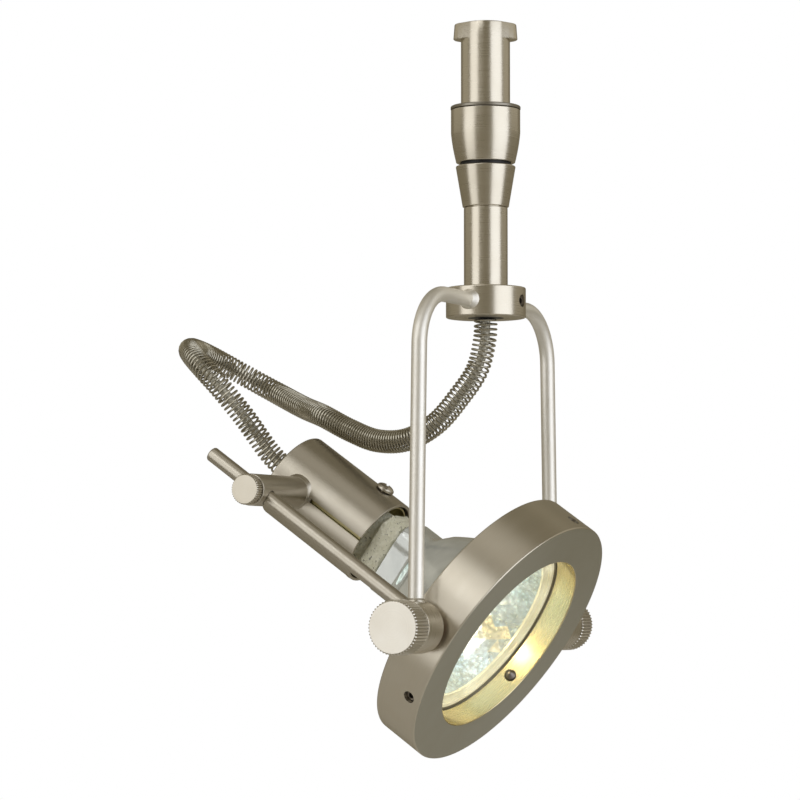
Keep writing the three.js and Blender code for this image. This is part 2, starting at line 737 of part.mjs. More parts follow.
const spotlight = new THREE.Group();
spotlight.name = "track_spotlight";
spotlight.add(connector(), lockNut(), yoke(), head(), lampHolder());
spotlight.add(part("armoured_lead", rodAlong(LEAD_ROUTE, LEAD_R, 44, 10), "steel"));

export default spotlight;
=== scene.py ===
import json
import math

import bmesh
import bpy
import numpy as np
from mathutils import Matrix, Vector, noise

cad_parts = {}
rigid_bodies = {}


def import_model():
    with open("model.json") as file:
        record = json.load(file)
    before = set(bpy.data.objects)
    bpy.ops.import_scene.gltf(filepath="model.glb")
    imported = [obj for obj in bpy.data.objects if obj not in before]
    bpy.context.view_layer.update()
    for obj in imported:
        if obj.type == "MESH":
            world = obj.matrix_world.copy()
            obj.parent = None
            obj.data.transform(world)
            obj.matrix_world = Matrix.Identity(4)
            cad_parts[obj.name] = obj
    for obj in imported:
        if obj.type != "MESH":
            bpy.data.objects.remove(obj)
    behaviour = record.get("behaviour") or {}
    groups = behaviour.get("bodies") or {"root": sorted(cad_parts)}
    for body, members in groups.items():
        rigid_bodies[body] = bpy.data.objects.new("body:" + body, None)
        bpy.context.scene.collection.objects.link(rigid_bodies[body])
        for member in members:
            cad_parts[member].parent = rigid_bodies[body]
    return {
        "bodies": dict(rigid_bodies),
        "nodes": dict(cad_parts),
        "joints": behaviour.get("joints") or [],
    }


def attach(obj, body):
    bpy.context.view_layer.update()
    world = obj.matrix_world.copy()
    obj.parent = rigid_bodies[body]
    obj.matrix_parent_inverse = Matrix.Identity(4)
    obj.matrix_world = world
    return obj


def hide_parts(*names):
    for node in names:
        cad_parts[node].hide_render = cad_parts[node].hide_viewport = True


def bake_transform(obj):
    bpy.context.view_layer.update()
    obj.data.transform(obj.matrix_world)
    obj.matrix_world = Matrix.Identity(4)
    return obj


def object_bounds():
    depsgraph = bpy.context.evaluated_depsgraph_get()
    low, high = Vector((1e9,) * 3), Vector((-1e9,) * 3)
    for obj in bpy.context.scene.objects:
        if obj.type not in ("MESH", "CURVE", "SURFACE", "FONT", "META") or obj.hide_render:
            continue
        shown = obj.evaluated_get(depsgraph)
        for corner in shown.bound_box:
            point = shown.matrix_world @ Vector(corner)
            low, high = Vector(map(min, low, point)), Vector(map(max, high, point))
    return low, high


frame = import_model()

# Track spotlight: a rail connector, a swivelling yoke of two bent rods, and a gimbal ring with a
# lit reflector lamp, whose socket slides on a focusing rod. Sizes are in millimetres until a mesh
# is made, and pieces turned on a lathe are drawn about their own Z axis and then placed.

CAD_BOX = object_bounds()
MM = 0.001
TILT = next(j for j in frame["joints"] if j["name"] == "tilt")
SLIDE = next(j for j in frame["joints"] if j["name"] == "socket_slide")
PIVOT = Vector(TILT["pos_m"])
LAMP_AXIS = -Vector(SLIDE["axis"]).normalized()
LAMP_TILT = math.atan2(-LAMP_AXIS.z, LAMP_AXIS.x)

ROW = Matrix.Identity(4)
HEAD = Matrix.Translation(PIVOT) @ Matrix.Rotation(LAMP_TILT, 4, "Y")
ALONG_LAMP = HEAD @ Matrix.Rotation(math.pi / 2, 4, "Y")
TO_NEAR = Matrix.Rotation(math.pi / 2, 4, "X")
TO_FAR = Matrix.Rotation(-math.pi / 2, 4, "X")


def across(angle_deg, x):
    """A place on the head whose Z axis points across the lamp: 0 degrees is -Y, 90 the head's +Z."""
    angle = math.radians(angle_deg)
    outwards = Vector((0, -math.cos(angle), math.sin(angle)))
    turn = Vector((0, 0, 1)).rotation_difference(outwards).to_matrix().to_4x4()
    return HEAD @ Matrix.Translation((x * MM, 0, 0)) @ turn


def turned_size(node, place):
    """(radius, lowest, highest) of a CAD node about and along the Z axis of a place."""
    back = place.inverted()
    points = [back @ v.co for v in frame["nodes"][node].data.vertices]
    radius = max(math.hypot(p.x, p.y) for p in points)
    return radius / MM, min(p.z for p in points) / MM, max(p.z for p in points) / MM


# ---- camera, at the photograph's angle ----

CAMERA_AZIMUTH = math.radians(26.83)
CAMERA_BACK = Vector((0.45052, -0.89057, -0.06258)).normalized()
CAMERA_AT = (0.3531, -0.7470, PIVOT.z + 0.0062)

camera = bpy.data.objects.new("camera", bpy.data.cameras.new("camera"))
camera.data.sensor_width = 36
camera.data.lens = 144.85
camera.data.clip_start = 0.01
right = CAMERA_BACK.cross(Vector((0, 0, -1))).normalized()
up = CAMERA_BACK.cross(right)
camera.matrix_world = Matrix((
    *((right[k], up[k], CAMERA_BACK[k], CAMERA_AT[k]) for k in range(3)),
    (0, 0, 0, 1),
))
bpy.context.scene.collection.objects.link(camera)
bpy.context.scene.camera = camera


# ---- making meshes ----

def new_piece(name, vertices, faces, place=ROW, sharp_deg=32.0):
    mesh = bpy.data.meshes.new(name)
    mesh.from_pydata([tuple(v) for v in vertices], [], faces)
    mesh.validate()
    mesh.update()
    piece = bpy.data.objects.new(name, mesh)
    piece.matrix_world = place
    bpy.context.scene.collection.objects.link(piece)
    smooth(piece, sharp_deg)
    return piece


def smooth(piece, sharp_deg):
    mesh = piece.data
    mesh.polygons.foreach_set("use_smooth", [True] * len(mesh.polygons))
    mesh.set_sharp_from_angle(angle=math.radians(sharp_deg))


def eased(profile, closed):
    """Rounds each corner that gives a radius as its third value, and holds the flats beside it flat."""
    points = [Vector(p[:2]) for p in profile]
    result = []
    last = len(points) - 1
    for i, corner in enumerate(profile):
        at_end = not closed and i in (0, last)
        if len(corner) < 3 or at_end:
            result.append(tuple(points[i]))
            continue
        before = (points[i - 1] - points[i]).normalized()
        after = (points[(i + 1) % len(points)] - points[i]).normalized()
        half = before.angle(after) / 2
        reach = corner[2] / math.tan(half)
        hold = 0.05
        centre = points[i] + (before + after).normalized() * (corner[2] / math.sin(half))
        start, end = points[i] + before * reach, points[i] + after * reach
        result.append(tuple(start + before * hold))
        for k in range(5):
            spoke = (start - centre).lerp(end - centre, k / 4).normalized() * corner[2]
            result.append(tuple(centre + spoke))
        result.append(tuple(end + after * hold))
    return result


def lathe(name, profile, place=ROW, segments=160, closed=None):
    """A turned solid about the place's Z axis, from (radius, height[, corner radius]) corners."""
    closed = profile[0][0] > 0 if closed is None else closed
    outline = eased(profile, closed)
    vertices, rings = [], []
    for r, z in outline:
        if r < 1e-6:
            rings.append([len(vertices)])
            vertices.append((0, 0, z * MM))
            continue
        rings.append(list(range(len(vertices), len(vertices) + segments)))
        for s in range(segments):
            angle = 2 * math.pi * s / segments
            vertices.append((r * MM * math.cos(angle), r * MM * math.sin(angle), z * MM))
    faces = []
    pairs = list(zip(rings, rings[1:])) + ([(rings[-1], rings[0])] if closed else [])
    for a, b in pairs:
        for s in range(segments):
            t = (s + 1) % segments
            if len(a) == 1 and len(b) == 1:
                break
            if len(a) == 1:
                faces.append((a[0], b[t], b[s]))
            elif len(b) == 1:
                faces.append((a[s], a[t], b[0]))
            else:
                faces.append((a[s], a[t], b[t], b[s]))
    return outwards(new_piece(name, vertices, faces, place))


def outwards(piece, sharp_deg=32.0):
    work = bmesh.new()
    work.from_mesh(piece.data)
    bmesh.ops.recalc_face_normals(work, faces=work.faces)
    work.to_mesh(piece.data)
    work.free()
    smooth(piece, sharp_deg)
    return piece


def tube_grid(name, rings, capped=True, place=ROW, sharp_deg=40.0):
    """A skin over rings of points, each with the same number of points."""
    rings = np.asarray(rings, float)
    count, sides = rings.shape[:2]
    vertices = rings.reshape(-1, 3)
    faces = []
    for i in range(count - 1):
        for s in range(sides):
            t = (s + 1) % sides
            faces.append((i * sides + s, i * sides + t, (i + 1) * sides + t, (i + 1) * sides + s))
    if capped:
        faces.append(tuple(range(sides - 1, -1, -1)))
        faces.append(tuple(range((count - 1) * sides, count * sides)))
    return outwards(new_piece(name, vertices, faces, place), sharp_deg)


def ribbed(name, rows, teeth, depth, place):
    """A turned solid with straight knurls: rows of (radius, height, share of the knurl)."""
    per_tooth = 4
    sides = teeth * per_tooth
    wave = np.array([(0, 0.25, 1, 0.25)[s % per_tooth] for s in range(sides)])
    angle = 2 * np.pi * np.arange(sides) / sides
    rings = []
    for r, z, share in rows:
        radius = (r - share * depth * wave) * MM
        rings.append(np.stack([radius * np.cos(angle), radius * np.sin(angle), np.full(sides, z * MM)], 1))
    return tube_grid(name, rings, place=place, sharp_deg=28.0)


def drilled(piece, *cutters):
    """Takes the cutters' shapes out of the piece, and removes them."""
    for cutter in cutters:
        modifier = piece.modifiers.new("cut", "BOOLEAN")
        modifier.operation = "DIFFERENCE"
        modifier.solver = "EXACT"
        modifier.object = cutter
    bpy.context.view_layer.update()
    depsgraph = bpy.context.evaluated_depsgraph_get()
    mesh = bpy.data.meshes.new_from_object(piece.evaluated_get(depsgraph))
    piece.modifiers.clear()
    old = piece.data
    piece.data = mesh
    bpy.data.meshes.remove(old)
    for cutter in cutters:
        bpy.data.meshes.remove(cutter.data)
    smooth(piece, 32.0)
    return piece


def drill(place, radius, start, end, segments=48):
    return lathe("drill", [(0, start), (radius, start), (radius, end), (0, end)], place, segments)


def box_cutter(x, y, z, place):
    """A box to cut with, from its lowest and highest x, y and z."""
    outline = ((x[0], y[0]), (x[1], y[0]), (x[1], y[1]), (x[0], y[1]))
    corners = [(a * MM, b * MM, c * MM) for c in z for a, b in outline]
    faces = [(0, 3, 2, 1), (4, 5, 6, 7), (0, 1, 5, 4), (1, 2, 6, 5), (2, 3, 7, 6), (3, 0, 4, 7)]
    return new_piece("box_cutter", corners, faces, place)


def hexagon(across_flats, count):
    points = []
    per_side = count // 6
    corner = across_flats / math.sqrt(3)
    for i in range(count):
        side, share = divmod(i, per_side)
        a, b = math.radians(60 * side), math.radians(60 * (side + 1))
        start = Vector((corner * math.cos(a), corner * math.sin(a)))
        end = Vector((corner * math.cos(b), corner * math.sin(b)))
        points.append(start.lerp(end, share / per_side))
    return points


def socket_screw(name, radius, inner, outer, place, point=False):
    """A grub screw along Z with a hexagon socket at its outer end."""
    sides = 36
    turns = [2 * math.pi * i / sides for i in range(sides)]
    circle = [Vector((math.cos(a), math.sin(a))) for a in turns]
    hole = hexagon(radius * 1.05, sides)
    tip = 0.35 if point else 0.9
    rows = [
        (circle, radius * tip * 0.5, inner), (circle, radius * tip, inner + 0.1),
        (circle, radius, inner + radius * (1.2 - tip)), (circle, radius, outer - 0.25),
        (circle, radius - 0.22, outer), (hole, 1.0, outer - 0.02), (hole, 1.0, outer - 1.3),
        (hole, 0.05, outer - 1.5),
    ]
    rings = [[(p.x * k * MM, p.y * k * MM, z * MM) for p in shape] for shape, k, z in rows]
    return tube_grid(name, rings, place=place, sharp_deg=30.0)


def catmull(points, per_span):
    """The centripetal curve through the points, as three.js draws it."""
    points = [np.array(p, float) for p in points]
    ends = [2 * points[0] - points[1], *points, 2 * points[-1] - points[-2]]
    line = []
    for i in range(1, len(ends) - 2):
        p0, p1, p2, p3 = ends[i - 1:i + 3]
        d0, d1, d2 = (max(np.linalg.norm(b - a), 1e-6) ** 0.5 for a, b in ((p0, p1), (p1, p2), (p2, p3)))
        m1 = ((p1 - p0) / d0 - (p2 - p0) / (d0 + d1) + (p2 - p1) / d1) * d1
        m2 = ((p2 - p1) / d1 - (p3 - p1) / (d1 + d2) + (p3 - p2) / d2) * d1
        for k in range(per_span):
            t = k / per_span
            line.append(
                p1 + m1 * t + (3 * (p2 - p1) - 2 * m1 - m2) * t ** 2 + (2 * (p1 - p2) + m1 + m2) * t ** 3
            )
    line.append(points[-1])
    return np.array(line)


def frames_along(line):
    """Tangents and two normals that don't twist, at each point of a line."""
    tangent = np.gradient(line, axis=0)
    tangent /= np.linalg.norm(tangent, axis=1)[:, None]
    normal = np.cross(tangent[0], [0, 1, 0] if abs(tangent[0][1]) < 0.9 else [1, 0, 0])
    normals = []
    for t in tangent:
        normal = normal - t * (normal @ t)
        normal = normal / np.linalg.norm(normal)
        normals.append(normal)
    normals = np.array(normals)
    return tangent, normals, np.cross(tangent, normals)


def sweep_rings(line, radius, sides, normals=None):
    tangent, side, other = frames_along(line)
    if normals is not None:
        side = normals - tangent * (normals * tangent).sum(1)[:, None]
        side /= np.linalg.norm(side, axis=1)[:, None]
        other = np.cross(tangent, side)
    angle = 2 * np.pi * np.arange(sides) / sides
    radius = np.broadcast_to(np.asarray(radius, float), (len(line),))[:, None, None]
    spokes = side[:, None] * np.cos(angle)[None, :, None] + other[:, None] * np.sin(angle)[None, :, None]
    return line[:, None] + radius * spokes


# ---- the armoured lead ----

# The route's points are the CAD lead's own, in metres.
LEAD_ROUTE = np.array([
    (0, 0, -76.7), (-0.4, 0.1, -82), (-2.8, 0.7, -89.5), (-8.5, 1.5, -96.5), (-15.5, 2.5, -103),
    (-24.5, 3.5, -107), (-34, 5, -107), (-42.9, 6.8, -104), (-52.1, 9.1, -99.9), (-61.5, 15.3, -97),
    (-73.8, 21.4, -92.1), (-82.2, 20.3, -87.6), (-87.5, 15.2, -83.8), (-89.6, 8, -81.5),
    (-88.3, 0.4, -81.3), (-84, -6, -83.4), (-78.2, -9.5, -87.7), (-72.5, -9.3, -93.6),
    (-67.9, -5.9, -100.6), (-65.5, -3, -105.5), (-62.8, -1.1, -110), (-59.9, -0.3, -113.1),
    (-57, 0, -115.6),
]) * MM
LEAD_DIAMETER = 6.2 * MM
WIRE_RADIUS = 0.29 * MM
SPLICE = 16  # the route's point where its two pieces meet
BRAID_RADIUS = 1.2 * MM
PER_SPAN = 24  # points drawn on each span of the route


def pitch_at(share):
    """The spring's pitch along the lead: open where it hangs straight, closed in the bends."""
    stops = [
        (0, 1.3), (0.16, 1.2), (0.24, 0.82), (0.33, 0.8), (0.42, 0.98), (0.58, 1.15), (0.66, 0.88),
        (0.74, 0.88), (0.82, 1.25), (1, 1.3),
    ]
    return np.interp(share, *zip(*stops)) * MM


route = catmull(LEAD_ROUTE, PER_SPAN)
route_length = np.concatenate([[0], np.cumsum(np.linalg.norm(np.diff(route, axis=0), axis=1))])
LEAD_LENGTH = float(route_length[-1])
TURN_STEPS = 18


def lead_pieces():
    """The spring armour and the leads inside it, each in two pieces that meet past the loop's tip."""
    fine = np.arange(0, LEAD_LENGTH, 0.02 * MM)
    turns = np.concatenate([[0], np.cumsum(0.02 * MM / pitch_at(fine / LEAD_LENGTH))[:-1]])
    steps = int(turns[-1] * TURN_STEPS)
    along = np.interp(np.arange(steps + 1) / TURN_STEPS, turns, fine)
    _, side, other = frames_along(route)
    place = np.stack([np.interp(along, route_length, route[:, k]) for k in range(3)], 1)
    u = np.stack([np.interp(along, route_length, side[:, k]) for k in range(3)], 1)
    v = np.stack([np.interp(along, route_length, other[:, k]) for k in range(3)], 1)
    angle = 2 * np.pi * np.arange(steps + 1) / TURN_STEPS
    radial = u * np.cos(angle)[:, None] + v * np.sin(angle)[:, None]
    radial /= np.linalg.norm(radial, axis=1)[:, None]
    coil = place + radial * (LEAD_DIAMETER / 2 - WIRE_RADIUS)
    core_cut = SPLICE * PER_SPAN
    cut = int(np.searchsorted(along, float(route_length[core_cut])))
    made = []
    for tag, wire, core in (
        ("yoke_side", slice(0, cut + 1), slice(0, core_cut + 1)),
        ("socket_side", slice(cut, steps + 1), slice(core_cut, len(route))),
    ):
        rings = sweep_rings(coil[wire], WIRE_RADIUS, 8, radial[wire])
        spring = tube_grid(f"lead_armour_{tag}", rings)
        inner = tube_grid(f"lead_braid_{tag}", sweep_rings(route[core], BRAID_RADIUS, 24))
        span = float(route_length[core][-1] - route_length[core][0])
        note_length(inner, route_length[core], 24)
        note_length(spring, along[wire], 8)
        made.append((spring, inner, route[core], span))
    return made


def note_length(piece, lengths, sides):
    """Stores each point's distance along the lead, and its share of the way round."""
    along = piece.data.attributes.new("along", "FLOAT", "POINT")
    round_share = piece.data.attributes.new("round", "FLOAT", "POINT")
    along.data.foreach_set("value", np.repeat(lengths, sides).astype(np.float32))
    round_share.data.foreach_set("value", np.tile(np.arange(sides) / sides, len(lengths)).astype(np.float32))


(armour_a, braid_a, line_a, span_a), (armour_b, braid_b, line_b, span_b) = lead_pieces()


for piece in (armour_a, braid_a):
    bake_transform(piece)
for piece in (armour_b, braid_b):
    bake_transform(piece)
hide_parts("armoured_lead")


# ---- materials ----

def node(tree, kind, inputs=(), **settings):
    made = tree.nodes.new(kind)
    for key, value in settings.items():
        setattr(made, key, value)
    for key, value in dict(inputs).items():
        if isinstance(value, bpy.types.NodeSocket):
            tree.links.new(value, made.inputs[key])
        else:
            made.inputs[key].default_value = value
    return made


def blank(name):
    """A new material, its tree, and the object's own coordinates to draw its pattern with."""
    material = bpy.data.materials.new(name)
    material.use_nodes = True
    material.node_tree.nodes.clear()
    return material, material.node_tree, node(material.node_tree, "ShaderNodeTexCoord").outputs["Object"]


def shown_by(material, shader):
    node(material.node_tree, "ShaderNodeOutputMaterial", {0: shader.outputs[0]})
    return material


def noise_of(tree, vector, scale, detail, **inputs):
    return node(tree, "ShaderNodeTexNoise", {
        "Vector": vector, "Scale": scale, "Detail": detail, **inputs,
    }).outputs["Fac"]


def bumped(tree, height, strength, distance_mm):
    return node(tree, "ShaderNodeBump", {
        "Height": height, "Strength": strength, "Distance": distance_mm * MM,
    }).outputs[0]


def maths(tree, operation, *values):
    return node(tree, "ShaderNodeMath", dict(enumerate(values)), operation=operation).outputs[0]


def scaled(tree, vector, factor):
    return node(tree, "ShaderNodeVectorMath", {0: vector, 3: factor}, operation="SCALE").outputs[0]


def spread_of(tree, source, low, high):
    """Maps a pattern of 0 to 1 evenly onto low to high."""
    return node(tree, "ShaderNodeMapRange", {
        "Value": source, "From Min": 0.25, "From Max": 0.75, "To Min": low, "To Max": high,
    }).outputs[0]


def between(tree, factor, first, second):
    mix = node(tree, "ShaderNodeMix", {"Factor": factor}, data_type="RGBA")
    mix.inputs[6].default_value = (*first, 1)
    mix.inputs[7].default_value = (*second, 1)
    return mix.outputs[2]


def shaded(colour, share):
    return tuple(c * share for c in colour)


def metal(name, colour, roughness, line=0.32, turned=True, depth=0.0025, stretch=0.45, contrast=0.1):
    """Brushed metal. On a turned piece the lines run round its Z axis, on its walls and its faces."""
    material, tree, coords = blank(name)
    line_m = line * MM
    if turned:
        parts = node(tree, "ShaderNodeSeparateXYZ", {0: coords}).outputs
        flat = node(tree, "ShaderNodeCombineXYZ", {0: parts[0], 1: parts[1]}).outputs[0]
        radius = node(tree, "ShaderNodeVectorMath", {0: flat}, operation="LENGTH").outputs["Value"]
        lined = node(tree, "ShaderNodeCombineXYZ", {0: radius, 1: parts[2]}).outputs[0]
        fine = scaled(tree, lined, 1 / line_m)
        drift = scaled(tree, coords, 110)
        grain_at = node(tree, "ShaderNodeVectorMath", {0: fine, 1: drift}, operation="ADD").outputs[0]
    else:
        grain_at = scaled(tree, coords, 1 / line_m)
    grain = noise_of(tree, grain_at, 1, 3, Roughness=0.65)
    smudge = noise_of(tree, coords, 140, 4, Roughness=0.55)
    fine_rough = spread_of(tree, grain, roughness - 0.05, roughness + 0.05)
    smudge_rough = spread_of(tree, smudge, -0.02, 0.02)
    rough = maths(tree, "ADD", fine_rough, smudge_rough)
    dark, light = shaded(colour, 1 - contrast), shaded(colour, 1 + contrast)
    tint = between(tree, spread_of(tree, grain, 0, 1), dark, light)
    worn = node(tree, "ShaderNodeMix", {"Factor": spread_of(tree, smudge, 0, 0.3), 6: tint}, data_type="RGBA")
    worn.inputs[7].default_value = (colour[0] * 0.94, colour[1] * 0.9, colour[2] * 0.82, 1)
    bump = bumped(tree, grain, 0.5, depth)
    bsdf = node(tree, "ShaderNodeBsdfPrincipled", {
        "Base Color": worn.outputs[2], "Roughness": rough, "Metallic": 1.0,
        "Normal": bump, "Anisotropic": stretch if turned else 0.0,
        "Anisotropic Rotation": 0.25 if turned else 0.0,
    })
    if turned:
        tangent = node(tree, "ShaderNodeTangent", direction_type="RADIAL", axis="Z")
        tree.links.new(tangent.outputs[0], bsdf.inputs["Tangent"])
    return shown_by(material, bsdf)


def coated(name, first, second, roughness, scale, depth, **sockets):
    """A dull or glossy non-metal with a mottled colour and a fine uneven surface."""
    material, tree, coords = blank(name)
    mottle = noise_of(tree, coords, scale, 5, Roughness=0.62)
    grit = noise_of(tree, coords, scale * 4, 2)
    bump = bumped(tree, grit, 0.7, depth)
    bsdf = node(tree, "ShaderNodeBsdfPrincipled", {
        "Base Color": between(tree, spread_of(tree, mottle, 0, 1), first, second),
        "Roughness": spread_of(tree, grit, roughness - 0.06, roughness + 0.06),
        "Normal": bump, **sockets,
    })
    return shown_by(material, bsdf)


NICKEL = (0.70, 0.655, 0.565)
TURNED_NICKEL = metal("turned_nickel", NICKEL, 0.3, line=0.26, contrast=0.045, depth=0.0016)
# A darker copy of the nickel for the shell: painted shade.
SHADED_SHELL_NICKEL = metal("shell_nickel_painted_shade", shaded(NICKEL, 0.8), 0.36, line=0.2, contrast=0.03, depth=0.0008)
# A darker copy of the nickel for the clamp knob: painted shade.
SHADED_CLAMP_NICKEL = metal("clamp_nickel_painted_shade", shaded(NICKEL, 0.9), 0.34, line=0.2, stretch=0.15, contrast=0.06)
# A half-bright copy of the nickel: painted shade on the lock washer's top, and a painted shadow line in the
# ring's groove.
PAINTED_SHADE_NICKEL = metal("painted_shade_nickel", shaded(NICKEL, 0.5), 0.4, line=0.2, contrast=0.05)
RING_WALL = metal("ring_wall_nickel", NICKEL, 0.33, line=0.24, contrast=0.03, depth=0.0006)
# A brighter golden copy of the nickel for the ring's bore in front of the lamp: painted warm lamp light.
LAMPLIT_RING_BORE = metal("ring_bore_painted_lamplight", (0.84, 0.74, 0.46), 0.26, line=0.16, contrast=0.02, depth=0.0002)
# A darker copy of the nickel for the ring's front face: painted shade.
SHADED_RING_FACE = metal("ring_face_painted_shade", (0.545, 0.54, 0.475), 0.4, line=0.3, contrast=0.02, depth=0.0006)
# A lighter copy of the nickel for the pivot knobs: painted light.
LIT_KNOB_NICKEL = metal("knob_nickel_painted_light", (0.76, 0.73, 0.665), 0.34, line=0.24, stretch=0.15, contrast=0.04)
PLAIN = {"turned": False, "depth": 0.0005, "contrast": 0.02}
# A darker copy of the nickel for the focus rod, clamp post, arm foot rings and shell screws: painted shade.
SHADED_ROD_NICKEL = metal("rod_nickel_painted_shade", shaded(NICKEL, 0.8), 0.34, line=0.5, **PLAIN)
# A near-white copy of the nickel for the yoke arms: painted highlight.
LIT_ARM_NICKEL = metal("arm_nickel_painted_light", (0.98, 0.965, 0.925), 0.5, line=0.4, **PLAIN)
STEEL = metal("fastener_steel", (0.50, 0.48, 0.44), 0.3, line=0.25, turned=False)
DARK_STEEL = metal("screw_steel", (0.24, 0.22, 0.2), 0.35, line=0.2, turned=False)
WIRE = metal("spring_wire", (0.50, 0.475, 0.40), 0.26, line=0.5, turned=False)
BRASS = metal("dull_brass", (0.52, 0.47, 0.25), 0.32, line=0.3)
NYLON = coated("black_nylon", (0.012, 0.012, 0.013), (0.03, 0.03, 0.032), 0.45, 900, 0.01)
FIBRE = coated("red_fibre", (0.10, 0.05, 0.03), (0.2, 0.11, 0.06), 0.6, 1500, 0.02)
SILICONE = coated("silicone_wire", (0.6, 0.57, 0.48), (0.7, 0.67, 0.58), 0.45, 700, 0.005)


def cement_material():
    """Rough off-white cement with dark specks and pits."""
    material, tree, coords = blank("lamp_cement")
    mottle = noise_of(tree, coords, 420, 6, Roughness=0.7)
    pits = node(tree, "ShaderNodeTexVoronoi", {"Vector": coords, "Scale": 1100}).outputs["Distance"]
    specks = noise_of(tree, coords, 1500, 2, Roughness=0.5)
    base = between(tree, spread_of(tree, mottle, 0, 1), (0.74, 0.73, 0.56), (1.0, 0.99, 0.86))
    spotted = node(tree, "ShaderNodeMapRange", {
        "Value": specks, "From Min": 0.62, "From Max": 0.7, "To Min": 0.0, "To Max": 0.75,
    }).outputs[0]
    speckled = node(tree, "ShaderNodeMix", {"Factor": spotted, 6: base}, data_type="RGBA")
    speckled.inputs[7].default_value = (0.12, 0.11, 0.09, 1)
    height = maths(tree, "ADD", mottle, pits)
    bump = bumped(tree, height, 0.9, 0.25)
    bsdf = node(tree, "ShaderNodeBsdfPrincipled", {
        "Base Color": speckled.outputs[2], "Roughness": spread_of(tree, mottle, 0.7, 0.9),
        "Normal": bump,
    })
    return shown_by(material, bsdf)


def mirror_material(name, glow_low, glow_high, dim, bright):
    """Dichroic coating of the lit lamp: silver and stippled, with the filament's reflected light painted on
    as a glow that is brighter with depth, and painted glints from the stipple.
    """
    material, tree, coords = blank(name)
    patch = noise_of(tree, coords, 160, 2)
    stipple = node(tree, "ShaderNodeTexVoronoi", {"Vector": coords, "Scale": 1000}, feature="SMOOTH_F1")
    bump = bumped(tree, stipple.outputs["Distance"], 0.8, 0.2)
    depth = node(tree, "ShaderNodeSeparateXYZ", {0: coords}).outputs[2]
    deep = node(tree, "ShaderNodeMapRange", {
        "Value": depth, "From Min": -0.003, "From Max": -0.014, "To Min": dim, "To Max": bright,
    }).outputs[0]
    painted_glints = node(tree, "ShaderNodeMapRange", {
        "Value": stipple.outputs["Distance"],
        "From Min": 0.05, "From Max": 0.6, "To Min": 1.35, "To Max": 0.55,
    }).outputs[0]
    flare = noise_of(tree, coords, 260, 3)
    cloud = maths(tree, "MULTIPLY", painted_glints, spread_of(tree, flare, 0.7, 1.25))
    bsdf = node(tree, "ShaderNodeBsdfPrincipled", {
        "Base Color": between(tree, spread_of(tree, patch, 0, 1), (0.56, 0.68, 0.68), (0.70, 0.76, 0.74)),
        "Roughness": spread_of(tree, patch, 0.2, 0.32), "Metallic": 0.9, "Normal": bump,
        "Emission Color": between(tree, spread_of(tree, patch, 0, 1), glow_low, glow_high),
        "Emission Strength": maths(tree, "MULTIPLY", deep, cloud),
    })
    return shown_by(material, bsdf)


def glass_body_material():
    """The reflector's pressed glass with its coating seen from behind: pale, blue-grey and glossy."""
    material, tree, coords = blank("lamp_glass_body")
    wave = noise_of(tree, coords, 110, 3, Distortion=0.6)
    bump = bumped(tree, wave, 0.35, 0.4)
    bsdf = node(tree, "ShaderNodeBsdfPrincipled", {
        "Base Color": between(tree, spread_of(tree, wave, 0, 1), (0.58, 0.61, 0.60), (0.86, 0.89, 0.87)),
        "Roughness": spread_of(tree, wave, 0.08, 0.2), "Metallic": 0.35, "Coat Weight": 0.8,
        "Coat Roughness": 0.05, "Normal": bump,
    })
    return shown_by(material, bsdf)


def clear_material():
    """Thin clear glass that lets the lamp's light through."""
    material, tree, coords = blank("clear_glass")
    film = noise_of(tree, coords, 90, 2)
    edge = node(tree, "ShaderNodeLayerWeight", {"Blend": 0.06}).outputs["Facing"]
    gloss = node(tree, "ShaderNodeBsdfGlossy", {"Roughness": spread_of(tree, film, 0.03, 0.1)})
    clear = node(tree, "ShaderNodeBsdfTransparent")
    mix = node(tree, "ShaderNodeMixShader", {0: edge, 1: clear.outputs[0], 2: gloss.outputs[0]})
    return shown_by(material, mix)


def glow_material(name, colour, strength):
    """A glowing coil, its brightness varied by noise."""
    material, tree, coords = blank(name)
    flicker = noise_of(tree, coords, 600, 1)
    glow = node(tree, "ShaderNodeEmission", {
        "Color": (*colour, 1), "Strength": spread_of(tree, flicker, strength * 0.85, strength * 1.15),
    })
    return shown_by(material, glow)


def braid_material():
    """Silvery khaki braid: two sets of crossing strands round the leads."""
    material, tree, _ = blank("lead_braid")
    along = node(tree, "ShaderNodeAttribute", attribute_name="along").outputs["Fac"]
    turn = node(tree, "ShaderNodeAttribute", attribute_name="round").outputs["Fac"]
    strands = []
    for sign in (1, -1):
        wound = maths(tree, "MULTIPLY", turn, 8.0 * sign)
        strands.append(maths(tree, "PINGPONG", maths(tree, "MULTIPLY_ADD", along, 1100.0, wound), 1.0))
    woven = maths(tree, "MAXIMUM", *strands)
    bump = bumped(tree, woven, 0.8, 0.12)
    bsdf = node(tree, "ShaderNodeBsdfPrincipled", {
        "Base Color": between(tree, woven, (0.28, 0.265, 0.21), (0.74, 0.71, 0.61)),
        "Roughness": spread_of(tree, woven, 0.5, 0.38), "Metallic": 0.3, "Normal": bump,
    })
    return shown_by(material, bsdf)


def rim_material():
    """The lamp's glass rim, which carries the lamp's light as a soft cream glow."""
    material, tree, coords = blank("lamp_rim_glass")
    wave = noise_of(tree, coords, 120, 3)
    bsdf = node(tree, "ShaderNodeBsdfPrincipled", {
        "Base Color": between(tree, spread_of(tree, wave, 0, 1), (0.62, 0.60, 0.44), (0.78, 0.76, 0.58)),
        "Roughness": spread_of(tree, wave, 0.15, 0.3), "Coat Weight": 0.6, "Coat Roughness": 0.08,
        "Emission Color": between(tree, spread_of(tree, wave, 0, 1), (1.0, 0.90, 0.52), (1.0, 0.96, 0.72)),
        "Emission Strength": spread_of(tree, wave, 0.25, 0.45),
    })
    return shown_by(material, bsdf)


CEMENT = cement_material()
RIM_GLASS = rim_material()
